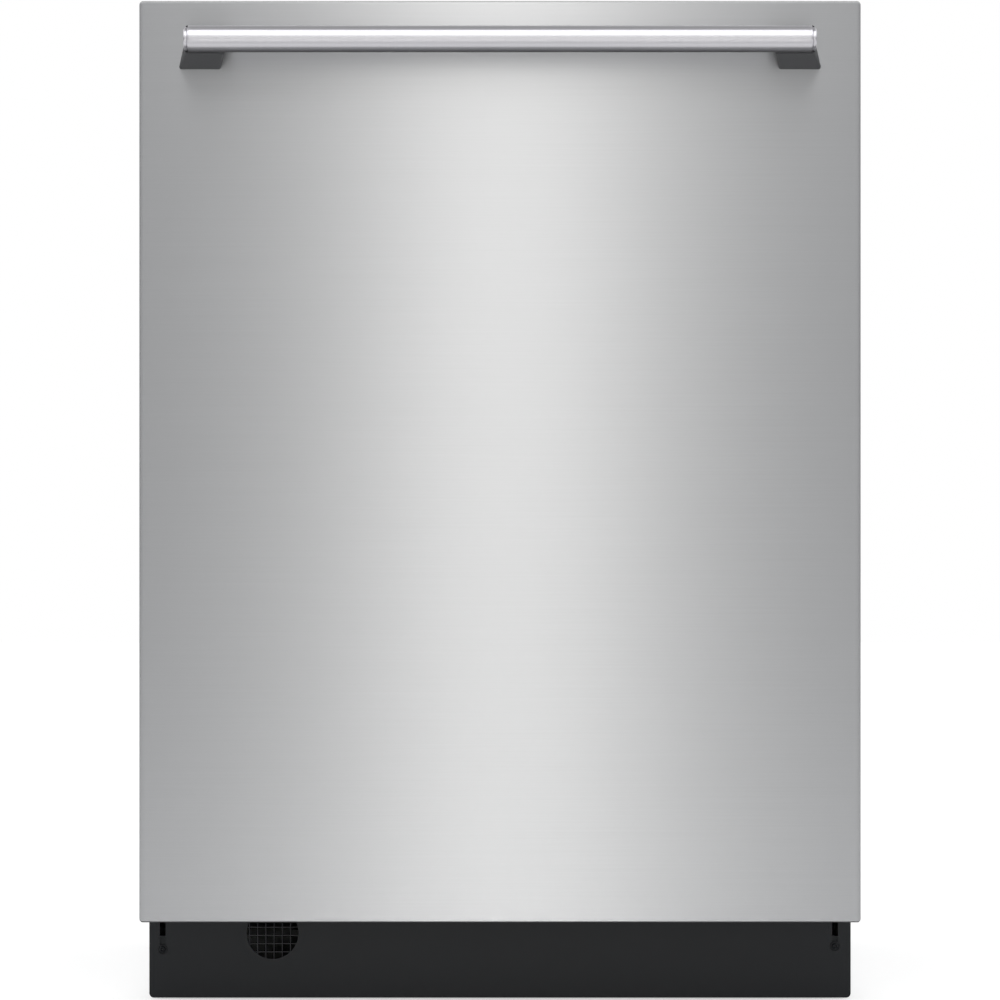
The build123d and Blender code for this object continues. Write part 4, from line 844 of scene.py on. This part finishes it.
def wire_basket(front, back, bottom, rims, wire_set, extra_y=()):
    """Shells of a wire basket: bent wires from rim to rim in both directions, and closed rims
    outside them. Every wire touches the ones that it is welded to."""
    radius, bend = wire_set.radius / MM, wire_set.bend / MM
    half_x, layer, top = RACK_HALF, 2 * radius + 0.05, max(rims) + 2
    lengthwise = np.linspace(-half_x + 20, half_x - 20, wire_set.lengthwise)
    crosswise = np.linspace(front + 14, back - 14, wire_set.crosswise)
    made = []
    for x in lengthwise:
        near, far = front + layer, back - layer
        ends = ((near, top), (near, bottom), (far, bottom), (far, top))
        made.append(wire([(x, y, z) for y, z in ends], radius, (1, 0, 0), bend))
    inner, low = half_x - layer, bottom + layer
    for y in crosswise:
        ends = ((-inner, top), (-inner, low), (inner, low), (inner, top))
        made.append(wire([(x, y, z) for x, z in ends], radius, (0, 1, 0), bend))
    for y in extra_y:
        made.append(wire([(-half_x + 8, y, low), (half_x - 8, y, low)], radius, (0, 0, 1)))
    for z in rims:
        corners = [(-half_x, front, z), (half_x, front, z), (half_x, back, z), (-half_x, back, z)]
        made.append(wire(corners, radius, (0, 0, 1), bend, loop=True))
    return made


class DISHWASHER_OT_lower_rack(bpy.types.Operator):
    """Bends the lower rack's wires, its fixed tines and its folding tine row"""

    bl_idname = "dishwasher.lower_rack"
    bl_label = "Lower rack"

    def execute(self, context):
        wire_set = context.scene.dishwasher_wire
        radius = wire_set.radius / MM
        low, high = span("lower_rack")
        front, back = low[1] + radius, high[1] - radius
        bottom, tine_top, plate_top = 152.0, 250, 222
        tine_xs, tine_ys = np.linspace(-196, 116, 9), (222, 170)
        made = wire_basket(front, back, bottom, (bottom + RAISED_RIM, 215, 272), wire_set, tine_ys)
        for y in tine_ys:
            for x in tine_xs:
                made.append(wire([(x, y, bottom + 2), (x, y, tine_top)], radius, (0, 1, 0)))
        # wheel plates outside the wires, each with a rib and a pin whose head holds the wheel
        for side in (-1, 1):
            for name in ("lower_front_wheels", "lower_rear_wheels"):
                y, z = round_along_x(name)[2]
                centre, size = (y, (z - 6 + plate_top) / 2), (32, plate_top - z + 6)
                made.append(slab("x", centre, size, levels_on(side, 241.6, 245.6), 6, 1.0))
                made.append(slab("x", (y, z + 34), (20, 36), levels_on(side, 245, 247.4), 5, 0.8))
                pin = [(241, 3.0), (258.3, 3.0), (258.4, 5.0), (259.8, 5.0), (260, 4.6)]
                made.append(turned_on(side, pin, (y, z), 24))
        piece("lower_rack_wires", made, "rack_coating", ["lower_rack"], "lower_rack", sharp=50)
        fold_low, fold_high = span("folding_tines")
        z = fold_low[2] + radius
        y = (fold_low[1] + fold_high[1]) / 2
        rod = wire([(fold_low[0], y, z), (fold_high[0], y, z)], radius, (0, 0, 1))
        row = [wire([(x, y, z + 1), (x, y, fold_high[2])], radius, (0, 1, 0)) for x in tine_xs]
        row.insert(0, rod)
        piece("folding_tine_row", row, "rack_coating", ["folding_tines"], "folding_tines", sharp=50)
        return {"FINISHED"}


class DISHWASHER_OT_upper_rack(bpy.types.Operator):
    """Bends the upper rack's wires and tines and fits its side plates and roller pins"""

    bl_idname = "dishwasher.upper_rack"
    bl_label = "Upper rack"

    def execute(self, context):
        wire_set = context.scene.dishwasher_wire
        radius = wire_set.radius / MM
        low, high = span("upper_rack")
        front, back = low[1] + radius, high[1] - radius
        bottom = low[2] + 4
        made = wire_basket(front, back, bottom, (bottom + RAISED_RIM, 540, 600), wire_set)
        for x in (-60.0, 60.0):
            for y in np.linspace(-140, 236, 9):
                made.append(wire([(x, y, bottom + 1), (x, y, bottom + 66)], radius, (0, 1, 0)))
        roller_low, roller_high = span("upper_rack_rollers")
        roller_radius, plate_low, plate_high = 10.6, 536, 603
        roller_ys = (roller_low[1] + roller_radius, roller_high[1] - roller_radius)
        roller_z = (roller_low[2] + roller_high[2]) / 2
        centre = ((roller_ys[0] + roller_ys[1]) / 2 - 4, (plate_low + plate_high) / 2)
        size = (roller_ys[1] - roller_ys[0] + 32, plate_high - plate_low)
        pin, boss = [(247, 3.0), (260.5, 3.0), (260.9, 2.5)], [(247, 8), (250.5, 8), (251, 7.5)]
        for side in (-1, 1):
            made.append(slab("x", centre, size, levels_on(side, 242.3, 248.3), 9, 1.2))
            rib = levels_on(side, 247.6, 249.5)
            for rib_z in (plate_low + 9, plate_high - 9):
                made.append(slab("x", (centre[0], rib_z), (size[0] - 16, 7), rib, 3, 0.6))
            for y in roller_ys:
                made.append(turned_on(side, pin, (y, roller_z), 24))
                made.append(turned_on(side, boss, (y, roller_z), 32))
        piece("upper_rack_wires", made, "rack_coating", ["upper_rack"], "upper_rack", sharp=50)
        return {"FINISHED"}


class DISHWASHER_OT_rack_wheels(bpy.types.Operator):
    """Turns the lower rack's wheels with a tyre, a hub and six spokes"""

    bl_idname = "dishwasher.rack_wheels"
    bl_label = "Rack wheels"

    def execute(self, context):
        for name in ("lower_front_wheels", "lower_rear_wheels"):
            _, high, centre, radius = round_along_x(name)
            inner, outer, bore, spokes = 246.0, high[0], 3.3, 6
            middle = (inner + outer) / 2
            tyre = [(inner + 1, radius), (outer - 1, radius), (outer, radius - 1), (outer, radius - 4)]
            tyre += [(outer - 0.6, radius - 4.6), (inner + 0.6, radius - 4.6)]
            tyre += [(inner, radius - 4), (inner, radius - 1)]
            hub = [(inner + 0.6, bore), (inner + 0.6, 6.4), (outer - 0.8, 6.4)]
            hub += [(outer - 0.4, 6), (outer - 0.4, bore)]
            made = []
            for side in (-1, 1):
                made.append(turned_on(side, tyre, centre, 48, loop=True))
                made.append(turned_on(side, hub, centre, 32, loop=True))
                level = levels_on(side, middle - 3.6, middle + 3.6)
                spoke = slab("x", (centre[0], centre[1] + 9.4), (2.6, 7.6), level, 0.6, 0.4)
                made += [turned_about_x(spoke, k * 2 * pi / spokes, centre) for k in range(spokes)]
            piece(name.replace("wheels", "spoked_wheels"), made, "grey_plastic", [name], name)
        return {"FINISHED"}


class DISHWASHER_OT_silverware_basket(bpy.types.Operator):
    """Builds the silverware basket's open walls from upright and level bars, with its handle"""

    bl_idname = "dishwasher.silverware_basket"
    bl_label = "Silverware basket"

    def execute(self, context):
        low, high = span("silverware_basket")
        rim, pitch, grip_foot, grip_top = 268.0, 9.2, 246, high[2] - 2.2
        wide, deep, tall = high[0] - low[0], high[1] - low[1], rim - low[2]
        # a wall's bars are this wide; its uprights are thin and its level bars, which end a little
        # inside the corner posts, are as thick as the wall
        bar, thin, wall, floor_bar, end = 2.2, 1.8, 2, 2.8, 4
        post, band_height, band_depth = 7, 6, 2.4
        pocket = (deep - 4 * wall) / 3
        walls_y = low[1] + wall / 2 + (wall + pocket) * np.arange(4)
        walls_x = (low[0] + wall / 2, high[0] - wall / 2)
        upright_xs = np.arange(low[0] + 9, high[0] - 6, pitch)
        upright_ys = np.arange(low[1] + 9, high[1] - 6, pitch)
        levels = np.linspace(low[2] + 1.2, rim - 1.2, 6)
        made = []
        for x in walls_x:
            made.append(bar_row(x - thin / 2, upright_ys - bar / 2, low[2], (thin, bar, tall)))
            size = (wall, deep - 2 * end, bar)
            made.append(bar_row(x - wall / 2, low[1] + end, levels - bar / 2, size))
        for y in walls_y:
            made.append(bar_row(upright_xs - bar / 2, y - thin / 2, low[2], (bar, thin, tall)))
            size = (wide - 2 * end, wall, bar)
            made.append(bar_row(low[0] + end, y - wall / 2, levels - bar / 2, size))
        for x in walls_x:
            for y in (walls_y[0], walls_y[-1]):
                made.append(slab("z", (x, y), (post, post), (low[2], rim), 3, 0.6))
        # its grid of a floor, the band round its rim and the arch to carry it by
        size = (floor_bar, deep - wall, thin)
        made.append(bar_row(upright_xs - floor_bar / 2, low[1] + wall / 2, low[2], size))
        size = (wide - wall, floor_bar, thin)
        made.append(bar_row(low[0] + wall / 2, upright_ys - floor_bar / 2, low[2], size))
        band = rounded(wide, deep, 6, (0, 0, band_depth, band_depth))
        middle, band_foot = (low + high)[:2] / 2, rim - band_height
        made.append(raised(band, (band_foot, rim, rim, band_foot), "z", middle, loop=True))
        near, far = walls_y[1], walls_y[2]
        ends = [(near, grip_foot), (near, grip_top), (far, grip_top), (far, grip_foot)]
        arch = spaced(bent([(middle[0], y, z) for y, z in ends], 22, 8), 5)
        made.append(swept(arch, oval(6.0, 2.0, 0.6, 16)[:, ::-1], (1, 0, 0)))
        piece("open_basket", made, "grey_plastic", ["silverware_basket"], "silverware_basket", sharp=45)
        return {"FINISHED"}


class DISHWASHER_OT_spray_arms(bpy.types.Operator):
    """Shapes both spray arms as swung hollow blades with raised nozzles"""

    bl_idname = "dishwasher.spray_arms"
    bl_label = "Spray arms"

    def execute(self, context):
        for name in ("lower_spray_arm", "upper_spray_arm"):
            low, high = span(name)
            reach, middle_y, top = high[0], (low[1] + high[1]) / 2, high[2]
            half_z = (high[2] - low[2]) / 2
            # half width 13 + 14 exp(-(x/50)^2), round at the tips; the middle line swings by a sine
            x = reach * np.sin(np.linspace(-pi / 2, pi / 2, 91))
            tip = np.sqrt(1 - np.clip((np.abs(x) - reach + 15) / 15, 0, 0.9995) ** 2)
            half = (13 + 14 * np.exp(-((x / 50) ** 2))) * tip
            swing = 7 * np.sin(pi * x / reach)
            ring = oval(1, 1, 0.55, 36)
            points = np.empty((len(x), len(ring), 3))
            points[..., 0] = x[:, None]
            points[..., 1] = middle_y + swing[:, None] + half[:, None] * ring[:, 0]
            points[..., 2] = low[2] + half_z + half_z * (tip[:, None] ** 0.7) * ring[:, 1]
            # a seam flange round the blade's waist, where its two halves are welded
            flange = points.copy()
            flange[..., 1] = middle_y + swing[:, None] + (half + 0.9 * tip)[:, None] * ring[:, 0]
            flange[..., 2] = low[2] + half_z + 0.8 * ring[:, 1]
            collar = [(top - 2, 24), (top - 0.2, 23), (top + 0.2, 19), (top + 0.2, 14), (top - 2, 14)]
            made = [shell(points), shell(flange)]
            made.append(turned(collar, "z", (0, middle_y), 48, loop=True))
            lip = [(top - 2, 4.6), (top + 0.3, 3.9), (top + 0.5, 3.0), (top + 0.2, 2.0), (top - 2, 1.8)]
            for at in np.linspace(58, reach - 22, 6):
                for side in (-1, 1):
                    spot = (side * at, middle_y + 7 * np.sin(pi * side * at / reach) + side * 3)
                    made.append(turned(lip, "z", spot, 18, loop=True))
            piece(name.replace("spray_arm", "spray_blades"), made, "grey_plastic", [name], name, sharp=50)
        return {"FINISHED"}


class DISHWASHER_OT_springs(bpy.types.Operator):
    """Coils the two balance springs, which stretch between the frame and the door's straps"""

    bl_idname = "dishwasher.springs"
    bl_label = "Balance springs"

    def execute(self, context):
        low, high = span("balance_springs")
        coil, hook, turns = (high[2] - low[2]) / 2 - 1.0, 1.5, 50
        middle_z = (low[2] + high[2]) / 2
        for side, name in ((-1, "left_spring"), (1, "right_spring")):
            # a helix whose radius closes to the hook's over its first and last turn
            t = np.linspace(0, 1, turns * 12 + 1)
            angle = 2 * pi * turns * t
            close = np.clip(np.minimum(t, 1 - t) * turns, 0, 1)
            radius = hook + (coil - hook) * np.sin(close * pi / 2)
            spoke = np.stack([np.cos(angle), 0 * t, np.sin(angle)], -1)
            middle_x = side * (high[0] - coil - 1)
            line = np.stack([0 * t + middle_x, low[1] + (high[1] - low[1]) * t, 0 * t + middle_z], -1)
            coiled = swept(line + radius[:, None] * spoke, oval(0.95, 0.95, 1, 6), spoke)
            made = piece(name, [coiled], "screw_steel", [], None, 60)
            if side < 0:
                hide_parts("balance_springs")
            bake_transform(made)
        return {"FINISHED"}


class DISHWASHER_OT_feet(bpy.types.Operator):
    """Turns the four levelling feet, each with a pad, a hexagon and a threaded stud"""

    bl_idname = "dishwasher.feet"
    bl_label = "Levelling feet"

    def execute(self, context):
        for name in ("front_left_foot", "front_right_foot", "rear_left_foot", "rear_right_foot"):
            low, high = span(name)
            centre = (low[:2] + high[:2]) / 2
            radius = high[0] - centre[0]
            pad = [(0, radius - 1.5), (0.8, radius), (3.2, radius)]
            pad += [(4.2, radius - 0.8), (6, radius - 4), (6.4, 11)]
            hexagon = turned([(5.6, 11.2), (6.2, 12), (12.6, 12), (13.2, 11.2)], "z", centre, 6)
            stud = threaded(5, 0.7, 2.0, (12.8, high[2]), centre)
            made = [turned(pad, "z", centre), hexagon, stud]
            piece(name.replace("foot", "levelling_foot"), made, "black_plastic", [name], name, sharp=30)
        return {"FINISHED"}


class DISHWASHER_OT_kick_screws(bpy.types.Operator):
    """Turns the kick plate's two screws, each with a cupped washer and a dished head"""

    bl_idname = "dishwasher.kick_screws"
    bl_label = "Kick plate screws"

    def execute(self, context):
        low, high = span("kick_plate_screws")
        face_y, reach = span("kick_plate")[0][1], 4.2
        cup = [(0.2, reach), (-0.8, reach), (-1.1, reach - 0.3), (-1.1, reach - 0.6), (-0.3, reach - 0.9)]
        head = [(-0.3, 2.7), (-1.9, 2.5), (-2.5, 2.0), (-2.6, 1.5), (-1.2, 0.9), (-1.2, 0.05)]
        profile = np.array(cup + head) + (face_y, 0)
        centres = [(low[0] + reach, low[2] + reach), (high[0] - reach, high[2] - reach)]
        made = [turned(profile, "y", centre, 28) for centre in centres]
        piece("kick_screws", made, "kick_black", ["kick_plate_screws"], "chassis", sharp=30)
        return {"FINISHED"}


class DISHWASHER_OT_stage(bpy.types.Operator):
    """Sets the floor, the room's light, the two lamps and the camera"""

    bl_idname = "dishwasher.stage"
    bl_label = "Stage"

    def seen(self, tree):
        """One output that is 1 for camera, glossy and transmission rays and 0 for the others."""
        rays = add(tree, "LightPath")
        either = {0: rays.outputs["Is Camera Ray"], 1: rays.outputs["Is Glossy Ray"]}
        both = add(tree, "Math", {"operation": "MAXIMUM"}, either)
        either = {0: both, 1: rays.outputs["Is Transmission Ray"]}
        return add(tree, "Math", {"operation": "MAXIMUM"}, either), rays

    def room(self, scene):
        stage = scene.dishwasher_stage
        scene.world = scene.world or bpy.data.worlds.new("room")
        scene.world.use_nodes = True
        tree = scene.world.node_tree
        tree.nodes.clear()
        seen, rays = self.seen(tree)
        direction = add(tree, "TexCoord")
        axes = add(tree, "SeparateXYZ", {}, {0: direction.outputs["Generated"]})
        across, along, up = axes.outputs
        aside = add(tree, "Math", {"operation": "ABSOLUTE"}, {0: across})
        # what polished metal sees: in front of it a studio that is dimmer than the white
        # background and changes upwards
        ramp = {"From Min": 0.1, "From Max": 0.6}
        ramp |= {"To Min": stage.front_level, "To Max": stage.overhead_level}
        front = add(tree, "MapRange", ramp, {0: up})
        # behind it the white background, which fades upwards
        ramp = SOFT | {"From Min": 0.35, "From Max": 0.8, "To Min": 1.0, "To Max": stage.behind_level}
        behind = add(tree, "MapRange", ramp, {0: up})
        turn = add(tree, "MapRange", SOFT | {"From Min": -0.3, "From Max": 0.05}, {0: along})
        links = {0: turn, 2: front, 3: behind}
        around = add(tree, "Mix", {"data_type": "FLOAT"}, links)
        # and at both sides darkness that lifts upwards
        ramp = SOFT | {"From Max": 0.4, "To Min": stage.side_level, "To Max": stage.high_side_level}
        sides = add(tree, "MapRange", ramp, {0: up})
        beside = add(tree, "MapRange", SOFT | {"From Min": 0.2, "From Max": 0.7}, {0: aside})
        links = {0: beside, 2: around, 3: sides}
        around = add(tree, "Mix", {"data_type": "FLOAT"}, links)
        # other rays that are seen meet white, and the light on matt things is even
        links = {0: rays.outputs["Is Glossy Ray"], 3: around}
        white = add(tree, "Mix", {"data_type": "FLOAT", 2: 1.0}, links)
        links = {0: seen, 3: white}
        strength = add(tree, "Mix", {"data_type": "FLOAT", 2: stage.level}, links)
        links = {"Strength": strength}
        sky = add(tree, "Background", {"Color": (1, 1, 1, 1)}, links)
        add(tree, "OutputWorld", {}, {"Surface": sky})

    def floor_white(self, stage):
        """The floor's material: white paper that is lifted to the background's white where it is
        seen, and that metal mirrors brightest about a metre in front."""
        made = bpy.data.materials.new("floor_white")
        made.use_nodes = True
        tree = made.node_tree
        tree.nodes.clear()
        seen, rays = self.seen(tree)
        mirrored = rays.outputs["Is Glossy Ray"]
        place = add(tree, "NewGeometry")
        axes = add(tree, "SeparateXYZ", {}, {0: place.outputs["Position"]})
        along, paper = axes.outputs[1], 0.8
        # a glow and a tone that fall off forwards, and darkness underneath the machine
        ramp = SOFT | {"From Min": -3.0, "From Max": -1.0, "To Min": 0.0, "To Max": stage.floor_glow}
        near = add(tree, "MapRange", ramp, {0: along})
        links = {0: mirrored, 3: near}
        glow = add(tree, "Mix", {"data_type": "FLOAT", 2: stage.floor_lift}, links)
        ramp = SOFT | {"From Min": -1.4, "From Max": -0.9, "To Min": 0.26, "To Max": paper}
        ahead = add(tree, "MapRange", ramp, {0: along})
        ramp = SOFT | {"From Min": -0.5, "From Max": -0.33, "To Max": 0.12}
        under = add(tree, "MapRange", ramp, {0: along, 3: ahead})
        links = {0: mirrored, 3: under}
        tone = add(tree, "Mix", {"data_type": "FLOAT", 2: paper}, links)
        plain = add(tree, "BsdfDiffuse", {"Color": (paper, paper, paper, 1)})
        matt = add(tree, "BsdfDiffuse", {}, {"Color": tone})
        shine = add(tree, "Emission", {"Color": (1, 1, 1, 1)}, {"Strength": glow})
        # a sheen at low angles, which carries the tall lamp on below the horizon
        facing = add(tree, "LayerWeight", {"Blend": 0.5})
        polish = {"From Min": 0.25, "From Max": 0.7, "To Max": stage.floor_sheen}
        polish = add(tree, "MapRange", polish, {0: facing.outputs["Facing"]})
        links = {0: mirrored, 3: polish}
        polish = add(tree, "Mix", {"data_type": "FLOAT", 2: 0.0}, links)
        sheen = add(tree, "BsdfAnisotropic", {"Roughness": 0.25}, {"Color": polish})
        pale = add(tree, "AddShader", {}, {0: matt, 1: shine})
        pale = add(tree, "AddShader", {}, {0: pale, 1: sheen})
        links = {0: seen, 1: plain, 2: pale}
        mixed = add(tree, "MixShader", {}, links)
        # from below it is clear, so that the underside can be looked at
        clear = add(tree, "BsdfTransparent")
        links = {0: place.outputs["Backfacing"], 1: mixed, 2: clear}
        mixed = add(tree, "MixShader", {}, links)
        add(tree, "OutputMaterial", {}, {"Surface": mixed})
        return made

    def floor(self, scene):
        half = 9.0
        corners = np.array([(-1, -1, 0), (1, -1, 0), (1, 1, 0), (-1, 1, 0)]) * half
        mesh = bpy.data.meshes.new("floor")
        mesh.from_pydata(corners.tolist(), [], [(0, 1, 2, 3)])
        mesh.materials.append(self.floor_white(scene.dishwasher_stage))
        ground = bpy.data.objects.new("floor", mesh)
        scene.collection.objects.link(ground)

    def lamp(self, scene, name, watts, size, place, turn, tint=(1, 1, 1)):
        light = bpy.data.lights.new(name, "AREA")
        light.shape, light.energy, light.color = "RECTANGLE", watts, tint
        light.size, light.size_y = size
        made = bpy.data.objects.new(name, light)
        made.location, made.rotation_euler = place, turn
        made.visible_camera = False
        scene.collection.objects.link(made)

    def execute(self, context):
        scene = context.scene
        stage = scene.dishwasher_stage
        self.room(scene)
        self.floor(scene)
        # a tall narrow lamp behind the camera, upright and slightly warm, and a broad one overhead
        upright, warm = (radians(90), 0, 0), (1, 0.98, 0.94)
        self.lamp(scene, "strip", stage.strip_power, (0.3, 3.8), (0.01, -4.6, 1.9), upright, warm)
        self.lamp(scene, "panel", stage.panel_power, (2.4, 2.4), (0, -2.0, 2.4), (0, 0, 0))
        face_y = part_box("door_outer_panel")[0][1]
        camera = bpy.data.cameras.new("camera")
        camera.lens, camera.sensor_width = stage.lens, 36.0
        made = bpy.data.objects.new("camera", camera)
        made.location = (0, face_y - stage.camera_away, stage.camera_height)
        made.rotation_euler = (radians(90), 0, 0)
        scene.collection.objects.link(made)
        scene.camera = made
        scene.view_settings.view_transform = "Standard"
        return {"FINISHED"}


class DISHWASHER_PT_panel(bpy.types.Panel):
    """Lists the dishwasher's pieces and their settings"""

    bl_idname = "DISHWASHER_PT_panel"
    bl_label = "Dishwasher"
    bl_space_type = "VIEW_3D"
    bl_region_type = "UI"
    bl_category = "Dishwasher"

    def draw(self, context):
        for operator in OPERATORS:
            self.layout.operator(operator.bl_idname)
        for label, group in SETTINGS.items():
            box = self.layout.box()
            for name in group.__annotations__:
                box.prop(getattr(context.scene, label), name)


SETTINGS = {
    "dishwasher_finish": DishwasherFinish,
    "dishwasher_door": DishwasherDoor,
    "dishwasher_wire": DishwasherWire,
    "dishwasher_felt": DishwasherFelt,
    "dishwasher_stage": DishwasherStage,
}
OPERATORS = (
    DISHWASHER_OT_cad_finishes,
    DISHWASHER_OT_door_skin,
    DISHWASHER_OT_handle,
    DISHWASHER_OT_blanket,
    DISHWASHER_OT_door_seal,
    DISHWASHER_OT_pressings,
    DISHWASHER_OT_lower_rack,
    DISHWASHER_OT_upper_rack,
    DISHWASHER_OT_rack_wheels,
    DISHWASHER_OT_silverware_basket,
    DISHWASHER_OT_spray_arms,
    DISHWASHER_OT_springs,
    DISHWASHER_OT_feet,
    DISHWASHER_OT_kick_screws,
    DISHWASHER_OT_stage,
)


def register():
    for group in SETTINGS.values():
        bpy.utils.register_class(group)
    for label, group in SETTINGS.items():
        setattr(bpy.types.Scene, label, PointerProperty(type=group))
    for kind in (*OPERATORS, DISHWASHER_PT_panel):
        bpy.utils.register_class(kind)


def unregister():
    for kind in (DISHWASHER_PT_panel, *reversed(OPERATORS)):
        bpy.utils.unregister_class(kind)
    for label in SETTINGS:
        delattr(bpy.types.Scene, label)
    for group in SETTINGS.values():
        bpy.utils.unregister_class(group)


def main():
    """Registers the add-on and makes every piece and the stage."""
    register()
    for operator in OPERATORS:
        group, name = operator.bl_idname.split(".")
        getattr(getattr(bpy.ops, group), name)()


if __name__ == "__main__":
    main()
